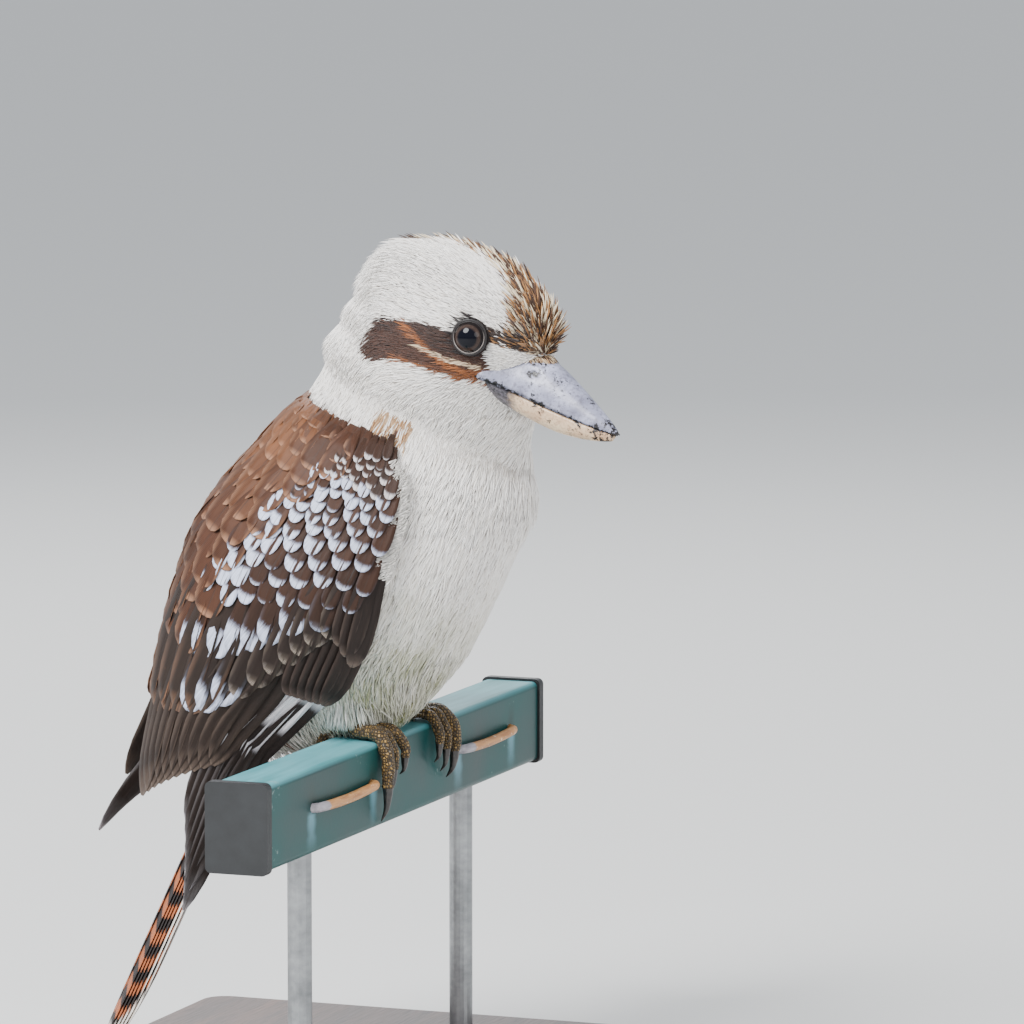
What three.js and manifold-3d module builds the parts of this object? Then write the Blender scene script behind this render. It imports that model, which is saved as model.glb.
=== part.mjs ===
// A laughing kookaburra, life size, perched on a cut length of steel tube over a plain display stand.
// Millimetres, +Z up. The tube runs along Y and the bird looks towards +X.
// The origin is the middle of the underside of the stand's base.

import * as THREE from "three";
import { mergeVertices } from "three/addons/utils/BufferGeometryUtils.js";
import Module from "manifold-3d";

const wasm = await Module();
wasm.setup();

// Driving dimensions

const GAP = 0.3;
const BASE_LENGTH = 210;
const BASE_WIDTH = 250;
const BASE_HEIGHT = 12;
const BASE_CHAMFER = 2;
const BASE_CORNER = 12;
const TAIL_CLEARANCE = 10;

const BAR_LENGTH = 300;
const BAR_WIDTH = 25;
const BAR_HEIGHT = 35;
const BAR_WALL = 2;
const BAR_CORNER = 2.5;
const CAP_THICKNESS = 5;
const CAP_LIP = 1;
const CAP_PLUG = 8;
const ROD_DIAMETER = 10;
const ROD_SPREAD = 90;
const CORD_DIAMETER = 4.2;
const CORD_LEVEL = -16;
const CORD_INSIDE = 8.5;
const CORD_OUT = 15.1;
const CORD_STEPS = 16;
const CORD_RUNS = { near: [-107, -41], far: [55, 118] };

const TAIL_DROP = 134;
const BAR_TOP = BASE_HEIGHT + TAIL_CLEARANCE + TAIL_DROP;
const PERCH_X = 28;

const TORSO_YAW = 18;
const EYE_RADIUS = 7.2;
const BILL_LENGTH = 73;
const TOE_RADIUS = 3.1;

const degrees = THREE.MathUtils.degToRad;
const lerp = THREE.MathUtils.lerp;
const vec = (x, y, z) => new THREE.Vector3(x, y, z);

// Solids: closed meshes to and from the joining library

function toSolid(geometry) {
  const plain = geometry.clone();
  plain.deleteAttribute("normal");
  plain.deleteAttribute("uv");
  const merged = mergeVertices(plain, 1e-4);
  return new wasm.Manifold(
    new wasm.Mesh({
      numProp: 3,
      vertProperties: new Float32Array(merged.attributes.position.array),
      triVerts: new Uint32Array(merged.index.array),
    }),
  );
}

function toGeometry(solid) {
  const mesh = solid.getMesh();
  const geometry = new THREE.BufferGeometry();
  geometry.setAttribute("position", new THREE.BufferAttribute(new Float32Array(mesh.vertProperties), 3));
  geometry.setIndex(new THREE.BufferAttribute(new Uint32Array(mesh.triVerts), 1));
  geometry.computeVertexNormals();
  return geometry;
}

// Fusing and cutting can leave scraps, so a node keeps its largest piece
function largest(solid) {
  return solid.decompose().reduce((best, piece) => (piece.volume() > best.volume() ? piece : best));
}

const union = (solids) => solids.reduce((whole, piece) => whole.add(piece));

// A solid from points and triangles, turned so that its faces point out
function outwardSolid(positions, index) {
  const geometry = new THREE.BufferGeometry();
  geometry.setAttribute("position", new THREE.Float32BufferAttribute(positions, 3));
  geometry.setIndex(index);
  const solid = toSolid(geometry);
  if (solid.volume() > 0) return solid;
  const turned = [];
  for (let i = 0; i < index.length; i += 3) turned.push(index[i], index[i + 2], index[i + 1]);
  geometry.setIndex(turned);
  return toSolid(geometry);
}

// A closed body through rings that have the same number of points, with a flat cap or a pole at each end
function loft(rings) {
  const count = rings[0].length;
  const positions = [];
  const index = [];
  rings.forEach((ring) => ring.forEach((p) => positions.push(p.x, p.y, p.z)));
  for (let r = 0; r + 1 < rings.length; r++) {
    for (let i = 0; i < count; i++) {
      const a = r * count + i;
      const b = r * count + ((i + 1) % count);
      index.push(a, b, b + count, a, b + count, a + count);
    }
  }
  const addCap = (ring, start, flip) => {
    const middle = positions.length / 3;
    const centre = ring.reduce((sum, p) => sum.add(p), vec(0, 0, 0)).divideScalar(count);
    positions.push(centre.x, centre.y, centre.z);
    for (let i = 0; i < count; i++) {
      const a = start + i;
      const b = start + ((i + 1) % count);
      index.push(...(flip ? [middle, b, a] : [middle, a, b]));
    }
  };
  addCap(rings[0], 0, true);
  addCap(rings[rings.length - 1], (rings.length - 1) * count, false);
  return outwardSolid(positions, index);
}

// A row of numbers at a place between stations, on a smooth curve through them
function smoothRow(stations, place) {
  const last = stations.length - 1;
  let i = 0;
  while (i < last - 1 && place > stations[i + 1][0]) i++;
  const before = stations[Math.max(i - 1, 0)];
  const from = stations[i];
  const to = stations[i + 1];
  const after = stations[Math.min(i + 2, last)];
  const t = THREE.MathUtils.clamp((place - from[0]) / (to[0] - from[0]), 0, 1);
  const span = to[0] - from[0];
  return from.slice(1).map((value, k) => {
    const slopeFrom = ((to[k + 1] - before[k + 1]) / (to[0] - before[0])) * span;
    const slopeTo = ((after[k + 1] - value) / (after[0] - from[0])) * span;
    return (
      (2 * t ** 3 - 3 * t ** 2 + 1) * value +
      (t ** 3 - 2 * t ** 2 + t) * slopeFrom +
      (3 * t ** 2 - 2 * t ** 3) * to[k + 1] +
      (t ** 3 - t ** 2) * slopeTo
    );
  });
}

// A round tube or cone along a curve, through evenly spaced radii, its ends drawn out by "reach"
function taperedTube(points, radii, sides, steps, reach = 0) {
  const curve = new THREE.CatmullRomCurve3(points);
  const stations = radii.map((radius, i) => [i / (radii.length - 1), radius]);
  const frames = curve.computeFrenetFrames(steps, false);
  const rings = [];
  for (let s = 0; s <= steps; s++) {
    const centre = curve.getPointAt(s / steps);
    if (s === 0) centre.addScaledVector(frames.tangents[s], -reach);
    if (s === steps) centre.addScaledVector(frames.tangents[s], reach);
    const [radius] = smoothRow(stations, s / steps);
    rings.push(
      Array.from({ length: sides }, (_, i) => {
        const angle = (2 * Math.PI * i) / sides;
        return centre
          .clone()
          .addScaledVector(frames.normals[s], radius * Math.cos(angle))
          .addScaledVector(frames.binormals[s], radius * Math.sin(angle));
      }),
    );
  }
  return loft(rings);
}

// The body's long axis leans back from the throat to the tail.
// A place on it is p millimetres from the throat, and q is the distance to the back.

const AXIS_TOP = vec(10, 0, 135);
const BODY_TILT = -25.8;
const AXIS_LEAN = degrees(-BODY_TILT);
const AXIS_DOWN = vec(-Math.sin(AXIS_LEAN), 0, -Math.cos(AXIS_LEAN));
const AXIS_BACK = vec(-Math.cos(AXIS_LEAN), 0, Math.sin(AXIS_LEAN));

const onAxis = (p, q, side) =>
  AXIS_TOP.clone().addScaledVector(AXIS_DOWN, p).addScaledVector(AXIS_BACK, q).setY(side);

// Stations of the torso: place, reach to the back, reach to the breast, half width
const TORSO_STATIONS = [
  [0, 39, 57, 37],
  [18, 40.5, 65.5, 42],
  [36, 43.5, 69, 45],
  [60, 49, 70, 48],
  [80, 51, 69, 48],
  [104, 47, 63, 44],
  [122, 37, 54, 36],
  [137, 26, 40, 25],
  [150, 14, 18, 13],
];
const TORSO_END = 150;
const TORSO_RINGS = 12;
const BODY_SEGMENTS = 24;

// One ring of the body: its centre, its turn and tilt, and its reach to the front, back and sides
function bodyRing({ centre, yaw, tilt, front, back, half, point = 1 }, grow = 0) {
  const ahead = vec(
    Math.cos(degrees(yaw)) * Math.cos(degrees(tilt)),
    Math.sin(degrees(yaw)) * Math.cos(degrees(tilt)),
    Math.sin(degrees(tilt)),
  );
  const left = vec(-Math.sin(degrees(yaw)), Math.cos(degrees(yaw)), 0);
  return Array.from({ length: BODY_SEGMENTS }, (_, i) => {
    const angle = (2 * Math.PI * i) / BODY_SEGMENTS;
    const c = Math.cos(angle);
    const s = Math.sin(angle);
    const reach = (c > 0 ? front : back) + grow;
    const narrow = c > 0 ? point : 1;
    const across = Math.sign(s) * Math.abs(s) ** narrow * (half + grow);
    return vec(...centre).addScaledVector(ahead, reach * c).addScaledVector(left, across);
  });
}

function torsoRing(p, grow = 0) {
  const [dorsal, ventral, half] = smoothRow(TORSO_STATIONS, p);
  const middle = (dorsal - ventral) / 2;
  const reach = (dorsal + ventral) / 2;
  const centre = onAxis(p, middle, 0).toArray();
  return bodyRing({ centre, yaw: 0, tilt: BODY_TILT, front: reach, back: reach, half }, grow);
}

function torsoSolid(grow = 0) {
  const rings = [];
  for (let i = 0; i <= TORSO_RINGS; i++) rings.push(torsoRing(lerp(0, TORSO_END, i / TORSO_RINGS), grow));
  return loft(rings.reverse());
}

// Neck and head: rings from the throat up, turning with the head to the bird's right

const HEAD_YAW = -36;
const HEAD_RINGS = [
  { place: 0, centre: [18.1, 0, 131.1], yaw: 0, tilt: BODY_TILT, front: 48, back: 48, half: 37, point: 1 },
  { place: 1, centre: [19, -5, 141], yaw: -14, tilt: -22, front: 49, back: 46, half: 36.5, point: 1.1 },
  { place: 2, centre: [22, -9, 150], yaw: -25, tilt: -19, front: 51, back: 49, half: 36.5, point: 1.35 },
  { place: 3, centre: [27, -13, 160], yaw: -33, tilt: -15, front: 52, back: 49, half: 36.5, point: 1.65 },
  { place: 4, centre: [30, -16, 171], yaw: -36, tilt: -10, front: 53, back: 47, half: 36.5, point: 1.25 },
  { place: 5, centre: [31, -17, 181.5], yaw: -36, tilt: -5, front: 49, back: 42, half: 35.5, point: 1.05 },
  { place: 6, centre: [28, -15, 193], yaw: -36, tilt: -2, front: 37, back: 39, half: 31.5, point: 1 },
  { place: 7, centre: [23, -12, 200], yaw: -36, tilt: 0, front: 26, back: 27, half: 24, point: 1 },
  { place: 8, centre: [20, -9.5, 204.4], yaw: -36, tilt: 0, front: 15, back: 14, half: 13, point: 1 },
];
const HEAD_CUT = 2;
const HEAD_TOP = 8;
const HEAD_RING_COUNT = 13;
const NECK_RING_COUNT = 5;

function headRing(place) {
  const rows = HEAD_RINGS.map((r) => [r.place, ...r.centre, r.yaw, r.tilt, r.front, r.back, r.half, r.point]);
  const [x, y, z, yaw, tilt, front, back, half, point] = smoothRow(rows, place);
  return { centre: [x, y, z], yaw, tilt, front, back, half, point };
}

function headSolid(from, to, rings, grow = 0, lift = 0) {
  const list = [];
  for (let i = 0; i <= rings; i++) {
    const ring = headRing(lerp(from, to, i / rings));
    if (i === 0) ring.centre[2] += lift;
    list.push(bodyRing(ring, grow));
  }
  return loft(list);
}

// The head's own frame, for the bill and the eyes
const HEAD_ORIGIN = vec(26, -13, 166);
const HEAD_AHEAD = vec(Math.cos(degrees(HEAD_YAW)), Math.sin(degrees(HEAD_YAW)), 0);
const HEAD_LEFT = vec(-HEAD_AHEAD.y, HEAD_AHEAD.x, 0);
const onHead = (ahead, left, up) =>
  HEAD_ORIGIN.clone()
    .addScaledVector(HEAD_AHEAD, ahead)
    .addScaledVector(HEAD_LEFT, left)
    .setZ(HEAD_ORIGIN.z + up);

// Bill: distance from the gape, half width, height of the culmen, depth of the lower half

const BILL_PITCH = degrees(-21.5);
const GAPE = onHead(24.6, 0, -8.2);
const BILL_AHEAD = HEAD_AHEAD.clone().multiplyScalar(Math.cos(BILL_PITCH)).setZ(Math.sin(BILL_PITCH));
const BILL_UP = vec(0, 0, 1).addScaledVector(BILL_AHEAD, -BILL_AHEAD.z).normalize();
const BILL_STATIONS = [
  [-4, 14.5, 14, 10],
  [10, 14.2, 14.5, 11.5],
  [24, 12.6, 14.2, 12],
  [36, 10.6, 12.6, 12],
  [46, 8.6, 10, 11.2],
  [56, 6.4, 7, 9],
  [64, 4.3, 4.4, 6.3],
  [70, 2.2, 2.2, 3.6],
  [BILL_LENGTH, 0.6, 0.5, 1.2],
];
const BILL_RINGS = 12;
const BILL_SEGMENTS = 12;
const MOUTH_DIP = 1.6;

function billHalf(upper) {
  const rings = [];
  for (let i = 0; i <= BILL_RINGS; i++) {
    const along = lerp(-4, upper ? BILL_LENGTH : BILL_LENGTH - 2.5, i / BILL_RINGS);
    const [half, culmen, keel] = smoothRow(BILL_STATIONS, along);
    const height = upper ? culmen : keel;
    const mouth = -MOUTH_DIP * Math.sin(Math.PI * THREE.MathUtils.clamp(along / BILL_LENGTH, 0, 1));
    const width = upper ? half : half * 0.93;
    rings.push(
      Array.from({ length: BILL_SEGMENTS }, (_, k) => {
        const angle = (Math.PI * k) / (BILL_SEGMENTS - 1);
        const across = width * Math.cos(angle);
        const rise = Math.max(height - (upper ? mouth : -mouth), 0.4) * Math.max(Math.sin(angle), 0) ** 0.85;
        const up = upper ? mouth + GAP / 2 + rise : mouth - GAP / 2 - rise;
        return GAPE.clone()
          .addScaledVector(BILL_AHEAD, along)
          .addScaledVector(HEAD_LEFT, across)
          .addScaledVector(BILL_UP, up);
      }),
    );
  }
  return loft(rings);
}

// Eyes, sunk in the sides of the head

const EYE_AHEAD = 35.5;
const EYE_SIDE = 24.6;
const EYE_UP = 4;
const EYE_COLUMNS = 12;
const EYE_ROWS = 8;
const EYE_TURN = degrees(24);
const LID_RADIUS = 7.3;
const LID_TUBE = 0.9;
const LID_OUT = 3.6;

const eyeCentre = (side) => onHead(EYE_AHEAD, side * EYE_SIDE, EYE_UP);
const eyeOut = (side) =>
  HEAD_LEFT.clone()
    .multiplyScalar(side * Math.cos(EYE_TURN))
    .addScaledVector(HEAD_AHEAD, Math.sin(EYE_TURN));

function ball(centre, radius, columns, rows) {
  return toSolid(new THREE.SphereGeometry(radius, columns, rows).translate(centre.x, centre.y, centre.z));
}

function lidRing(side) {
  const torus = new THREE.TorusGeometry(LID_RADIUS, LID_TUBE, 4, 12);
  torus.applyQuaternion(new THREE.Quaternion().setFromUnitVectors(vec(0, 0, 1), eyeOut(side)));
  const place = eyeCentre(side).addScaledVector(eyeOut(side), LID_OUT);
  return toSolid(torus.translate(place.x, place.y, place.z));
}

// Vanes: thin closed feathers, split into triangles alike on both faces

const MIDRIB_RISE = 0.35;

function vane(frames, thickness, columns = 2) {
  const positions = [];
  const index = [];
  for (const { centre, across, out, half, lean } of frames) {
    for (const face of [0, 1]) {
      for (let c = 0; c < columns; c++) {
        const k = (2 * c) / (columns - 1) - 1;
        const rise = (1 - k * k) * MIDRIB_RISE + k * half * lean - face * thickness;
        const p = centre.clone().addScaledVector(across, k * half).addScaledVector(out, rise);
        positions.push(p.x, p.y, p.z);
      }
    }
  }
  const row = 2 * columns;
  const last = frames.length - 1;
  for (let f = 0; f < last; f++) {
    const a = f * row;
    const b = a + row;
    for (let k = 0; k + 1 < columns; k++) {
      const under = k + columns;
      index.push(a + k, a + k + 1, b + k + 1, a + k, b + k + 1, b + k);
      index.push(a + under, b + under + 1, a + under + 1, a + under, b + under, b + under + 1);
    }
    const edge = columns - 1;
    index.push(a, b, b + columns, a, b + columns, a + columns);
    index.push(a + edge, b + edge + columns, b + edge, a + edge, a + edge + columns, b + edge + columns);
  }
  for (let k = 0; k + 1 < columns; k++) {
    index.push(k, k + columns, k + columns + 1, k, k + columns + 1, k + 1);
    const e = last * row + k;
    index.push(e, e + columns + 1, e + columns, e, e + 1, e + columns + 1);
  }
  return outwardSolid(positions, index);
}

// Crown: shaggy feathers that lie back over the head, from the brow to the nape

const CROWN_HEART = onHead(6, 0, 2);
const CROWN_ROWS = [
  { from: 42, sides: [-17, 17], rise: 1.8 },
  { from: 72, sides: [-26, 0, 26], rise: 2.4 },
  { from: 106, sides: [-19, 19], rise: 3 },
  { from: 136, sides: [-28, 0, 28], rise: 3 },
];
const CROWN_REACH = 36;
const CROWN_HALF = 8.5;
const CROWN_SHAPE = [[0, 0.7], [0.55, 1], [1, 0.16]];

function crownPoint(mesh, turn, side, height) {
  const direction = HEAD_AHEAD.clone()
    .multiplyScalar(Math.cos(degrees(turn)))
    .setZ(Math.sin(degrees(turn)))
    .multiplyScalar(Math.cos(degrees(side)))
    .addScaledVector(HEAD_LEFT, Math.sin(degrees(side)));
  const hit = new THREE.Raycaster(CROWN_HEART, direction).intersectObject(mesh)[0];
  return hit.point.addScaledVector(direction, height);
}

function crownVanes(geometry) {
  const mesh = new THREE.Mesh(geometry, new THREE.MeshBasicMaterial({ side: THREE.DoubleSide }));
  return CROWN_ROWS.flatMap(({ from, sides, rise }) =>
    sides.map((side) => {
      const frames = CROWN_SHAPE.map(([f, width]) => {
        const turn = from + CROWN_REACH * f;
        const height = lerp(-1.2, rise, f);
        const centre = crownPoint(mesh, turn, side, height);
        const along = crownPoint(mesh, turn + 2, side, height).sub(centre).normalize();
        const around = crownPoint(mesh, turn, side + 2, height).sub(centre).normalize();
        const out = vec(0, 0, 0).crossVectors(around, along).normalize();
        if (out.dot(centre.clone().sub(CROWN_HEART)) < 0) out.negate();
        const across = vec(0, 0, 0).crossVectors(out, along).normalize();
        return { centre, across, out, half: CROWN_HALF * width, lean: 0 };
      });
      return vane(frames, VANE_THICKNESS);
    }),
  );
}

// The line of the mouth runs back from the bill as a shallow groove in the cheeks

const GROOVE_DEPTH = 1;
const GROOVE_HEIGHT = 0.9;
const GROOVE_LENGTH = 28;

function mouthGroove() {
  const slab = new THREE.BoxGeometry(GROOVE_LENGTH, 80, GROOVE_HEIGHT).translate(GROOVE_LENGTH / 2, 0, -0.6);
  const frame = new THREE.Matrix4().makeBasis(BILL_AHEAD, HEAD_LEFT, BILL_UP).setPosition(GAPE);
  return toSolid(slab.applyMatrix4(frame)).subtract(headSolid(1, 8, HEAD_RING_COUNT, -GROOVE_DEPTH));
}

const NOSTRIL = { along: 30, up: 8.6, side: 7.6, size: [2.6, 1.1, 0.8] };

function nostril(side) {
  const slit = new THREE.SphereGeometry(1, 8, 6).scale(...NOSTRIL.size);
  const frame = new THREE.Matrix4()
    .makeBasis(BILL_AHEAD, HEAD_LEFT, BILL_UP)
    .setPosition(
      GAPE.clone()
        .addScaledVector(BILL_AHEAD, NOSTRIL.along)
        .addScaledVector(HEAD_LEFT, side * NOSTRIL.side)
        .addScaledVector(BILL_UP, NOSTRIL.up),
    );
  return toSolid(slit.applyMatrix4(frame));
}

// The folded wing lies on a shell round the torso.
// Its places are millimetres along the body and the turn from the flank to the back.

const WING_STATIONS = [
  [-6, 36, 52, 37],
  [18, 42.5, 66, 45.5],
  [36, 46, 69, 50],
  [60, 52.5, 71, 54],
  [80, 55.5, 70.5, 54],
  [104, 53, 65, 50],
  [122, 49.5, 56, 43.5],
  [137, 46, 44, 36],
  [152, 42, 33, 30],
  [175, 36, 26, 26.5],
  [200, 30, 24, 24.5],
  [240, 24, 24, 23],
];

function shellPoint(wing, p, turn, height = 0) {
  const [dorsal, ventral, half] = smoothRow(WING_STATIONS, p);
  const middle = (dorsal - ventral) / 2;
  const reach = (dorsal + ventral) / 2;
  const lift = wing.lift * THREE.MathUtils.smoothstep(p, 140, 235);
  return onAxis(
    p,
    middle + lift + (reach + height) * Math.sin(degrees(turn)),
    wing.side * (half + height) * Math.cos(degrees(turn)),
  );
}

function shellFrame(wing, p, turn, height, ahead) {
  const centre = shellPoint(wing, p, turn, height);
  const along = shellPoint(wing, p + ahead.p, turn + ahead.turn, height).sub(centre).normalize();
  const around = shellPoint(wing, p, turn + 1, height).sub(shellPoint(wing, p, turn - 1, height)).normalize();
  const out = vec(0, 0, 0).crossVectors(along, around).normalize();
  if (out.dot(shellPoint(wing, p, turn, height + 1).sub(centre)) < 0) out.negate();
  const across = vec(0, 0, 0).crossVectors(out, along).normalize();
  return { centre, across, out };
}

// Tiers of the wing, from the longest feathers up to the shoulder.
// Each goes from its lowest feather to its highest.
// It says where roots and tips lie, and how far they rise off the flesh.
const QUILL_SHAPE = [[0, 0.5], [0.45, 0.95], [0.86, 0.9], [1, 0.3]];
const COVERT_SHAPE = [[0, 0.6], [0.6, 1], [1, 0.45]];
const QUILL = { shape: QUILL_SHAPE, columns: 2 };
const COVERT = { shape: COVERT_SHAPE, columns: 2 };

const LIFTED = [-1.2, 2.4];
const WING_TIERS = [
  { ...QUILL, count: 5, root: [[88, 4], [100, 62]], tip: [[170, 8], [192, 56]], half: 9, rise: [-1.4, 0.7] },
  { ...COVERT, count: 3, root: [[84, 32], [92, 66]], tip: [[149, 30], [156, 61]], half: 9.5, rise: [-1, 2.2] },
  { ...COVERT, count: 2, root: [[64, -7], [82, 0]], tip: [[121, -22], [122, -7]], half: 9, rise: [-1.2, 1.2] },
  { ...COVERT, count: 4, root: [[74, -4], [92, 40]], tip: [[108, -8], [139, 32]], half: 10, rise: LIFTED },
  { ...COVERT, count: 4, root: [[42, -6], [70, 46]], tip: [[74, -10], [112, 40]], half: 10.5, rise: LIFTED },
  { ...COVERT, count: 3, root: [[22, 0], [44, 42]], tip: [[50, -6], [82, 40]], half: 13, rise: LIFTED },
  { ...COVERT, count: 2, root: [[12, 12], [18, 34]], tip: [[34, 2], [44, 32]], half: 10.5, rise: LIFTED },
  { ...COVERT, count: 2, root: [[72, 56], [84, 73]], tip: [[122, 54], [130, 71]], half: 11.5, rise: LIFTED },
  { ...COVERT, count: 2, root: [[44, 54], [54, 73]], tip: [[88, 51], [100, 71]], half: 12, rise: LIFTED },
  { ...COVERT, count: 2, root: [[22, 50], [30, 72]], tip: [[58, 46], [68, 71]], half: 12, rise: LIFTED },
];
const PRIMARIES = { ...QUILL, count: 4, root: [[78, -13], [92, 8]], half: 7.4, rise: [-2.4, -1.4] };
const WINGS = [
  { name: "wing_right", side: -1, lift: 0, primaryTips: [[228, -24], [193, 6]] },
  { name: "wing_left", side: 1, lift: 18, primaryTips: [[219, 62], [194, 34]] },
];
const VANE_THICKNESS = 0.7;
const SHINGLE = 0.11;

function tierVanes(wing, tier) {
  const vanes = [];
  for (let i = 0; i < tier.count; i++) {
    const t = tier.count > 1 ? i / (tier.count - 1) : 0;
    const from = tier.root[0].map((low, k) => lerp(low, tier.root[1][k], t));
    const to = tier.tip[0].map((low, k) => lerp(low, tier.tip[1][k], t));
    const ahead = { p: (to[0] - from[0]) / 50, turn: (to[1] - from[1]) / 50 };
    const frames = tier.shape.map(([f, width]) => {
      const rise = lerp(tier.rise[0], tier.rise[1], f ** 0.6);
      return {
        ...shellFrame(wing, lerp(from[0], to[0], f), lerp(from[1], to[1], f), rise, ahead),
        half: tier.half * width,
        lean: SHINGLE * wing.side,
      };
    });
    vanes.push(vane(frames, VANE_THICKNESS, tier.columns));
  }
  return vanes;
}

// The wing's own flesh is a shell that lies on the flank, thin towards the rump
const CORE_FROM = 13;
const CORE_TO = 150;
const CORE_BACK_EDGE = 80;
const CORE_FRONT_EDGE = [[0, 10], [0.12, 0], [0.3, -6], [0.6, -15], [1, -22]];
const CORE_ROWS = 6;
const CORE_COLUMNS = 4;

function wingCore(wing) {
  const rings = [];
  for (let r = 0; r <= CORE_ROWS; r++) {
    const f = r / CORE_ROWS;
    const p = lerp(CORE_FROM, CORE_TO, f);
    const [low] = smoothRow(CORE_FRONT_EDGE, f);
    const depth = lerp(6.5, 1.8, THREE.MathUtils.smoothstep(p, 90, 150));
    const outer = [];
    const inner = [];
    for (let c = 0; c <= CORE_COLUMNS; c++) {
      const turn = lerp(low, CORE_BACK_EDGE, c / CORE_COLUMNS);
      outer.push(shellPoint(wing, p, turn, 0));
      inner.push(shellPoint(wing, p, turn, -depth));
    }
    rings.push([...outer, ...inner.reverse()]);
  }
  return loft(rings);
}

// Tail: two sloping halves of six quills each, under and over short coverts

const TAIL_LENGTH = 145;
const TAIL_PLACE = TORSO_END + GAP;
const TAIL_FLESH = [[0, 14, 18, 13], [12, 9, 11, 9.5], [24, 6, 6, 7], [34, 3.4, 3.4, 5]];
const TAIL_FLESH_LENGTH = 34;
const TAIL_FLESH_RINGS = 5;
const TAIL_ROOF = degrees(14);
const RECTRIX_COUNT = 6;
const RECTRIX_SHAPE = [[0, 0.5, 0], [0.4, 0.85, 0], [0.9, 1, 0], [1, 0.7, 1]];
const RECTRIX_INNER = 0.5;
const RECTRIX_OUTER = 8;
const RECTRIX_STEP = 2;
const RECTRIX_STACK = 1.1;
const TAIL_SWING = -3.5;
const TAIL_COVERTS = [
  { count: 3, from: [4, 9], to: [52, 6.5], spread: 7, face: 1 },
  { count: 2, from: [4, -11], to: [58, -11], spread: 6, face: -1 },
];

function tailFlesh() {
  const rings = [];
  for (let i = 0; i <= TAIL_FLESH_RINGS; i++) {
    const along = (TAIL_FLESH_LENGTH * i) / TAIL_FLESH_RINGS;
    const [dorsal, ventral, half] = smoothRow(TAIL_FLESH, along);
    const centre = onAxis(TAIL_PLACE + along, (dorsal - ventral) / 2, 0).toArray();
    const reach = (dorsal + ventral) / 2;
    rings.push(bodyRing({ centre, yaw: 0, tilt: BODY_TILT, front: reach, back: reach, half }));
  }
  return loft(rings);
}

function tailSolid() {
  const pieces = [tailFlesh()];
  for (const side of [-1, 1]) {
    const out = AXIS_BACK.clone()
      .multiplyScalar(Math.cos(TAIL_ROOF))
      .addScaledVector(vec(0, side, 0), Math.sin(TAIL_ROOF));
    const across = vec(0, 0, 0).crossVectors(out, AXIS_DOWN).normalize();
    for (let i = 0; i < RECTRIX_COUNT; i++) {
      const length = TAIL_LENGTH - i * i * 0.35;
      const central = i === 0 && side > 0;
      const inner = central ? -RECTRIX_INNER : RECTRIX_INNER;
      const frames = RECTRIX_SHAPE.map(([f, width, trim]) => {
        const outer = (RECTRIX_OUTER + i * RECTRIX_STEP) * width;
        const near = (central ? -RECTRIX_OUTER * width : inner) + trim * (central ? 0 : 2);
        const away = (outer + near) / 2;
        const drop = away * Math.tan(TAIL_ROOF) + i * RECTRIX_STACK - (central ? 0.7 : 0);
        const centre = onAxis(TAIL_PLACE + 4 + (length - 4) * f, 3 - drop + TAIL_SWING * f, side * away);
        return { centre, across, out: central ? AXIS_BACK : out, half: (outer - near) / 2, lean: 0 };
      });
      pieces.push(vane(frames, VANE_THICKNESS));
    }
  }
  for (const { count, from, to, spread, face } of TAIL_COVERTS) {
    for (let i = 0; i < count; i++) {
      const k = count > 1 ? (2 * i) / (count - 1) - 1 : 0;
      const out = AXIS_BACK.clone().multiplyScalar(face).addScaledVector(vec(0, 1, 0), 0.35 * k).normalize();
      const across = vec(0, 0, 0).crossVectors(out, AXIS_DOWN).normalize();
      const frames = COVERT_SHAPE.map(([f, width]) => ({
        centre: onAxis(
          TAIL_PLACE + lerp(from[0], to[0] - 4 * Math.abs(k), f),
          lerp(from[1], to[1], f) - face * Math.abs(k) * 2,
          k * spread,
        ),
        across,
        out,
        half: 6 * width,
        lean: 0,
      }));
      pieces.push(vane(frames, 1));
    }
  }
  return largest(union(pieces));
}

// Legs, feet and claws, in the perch's frame and turned into the bird's

const FEET = {
  right: {
    ankle: [-5, -26, 7.5],
    toes: [
      { name: "inner", splay: 9, reach: [17, -7], drop: -8.5, claw: [14.6, -15.5], size: 0.82 },
      { name: "middle", splay: -9, reach: [16.6, -9], drop: -19, claw: [13.6, -32.5], size: 1.05 },
      { name: "outer", splay: -2, reach: [16.4, -8], drop: -12, claw: [13.8, -22.5], size: 0.85 },
    ],
  },
  left: {
    ankle: [-5, 29, 7.5],
    toes: [
      { name: "inner", splay: -6, reach: [16.6, -7], drop: -8.5, claw: [14.2, -16.5], size: 0.82 },
      { name: "middle", splay: 9, reach: [17.4, -7.5], drop: -14, claw: [13.8, -25], size: 1.05 },
      { name: "outer", splay: 2, reach: [16.6, -8], drop: -12, claw: [13.8, -21.5], size: 0.85 },
    ],
  },
};

const CLAW_RADII = [2.3, 1.9, 1.2, 0.3];
const CLAW_BOW = 0.9;
const HALLUX_CLAW = [-14, -15.5];

function toePath(foot, toe) {
  const [x, y, z] = foot.ankle;
  return [
    vec(x - 1, y, z),
    vec(x + 6, y + toe.splay * 0.45, 4.2),
    vec(12, y + toe.splay * 0.85, 3),
    vec(toe.reach[0], y + toe.splay, toe.reach[1] + 3),
    vec(toe.reach[0], y + toe.splay, toe.drop),
  ];
}

function halluxPath(foot) {
  const [x, y, z] = foot.ankle;
  return [vec(x + 2, y, z), vec(x - 6, y, 4), vec(-15.5, y, 1), vec(-16.6, y, -7)];
}

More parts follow.
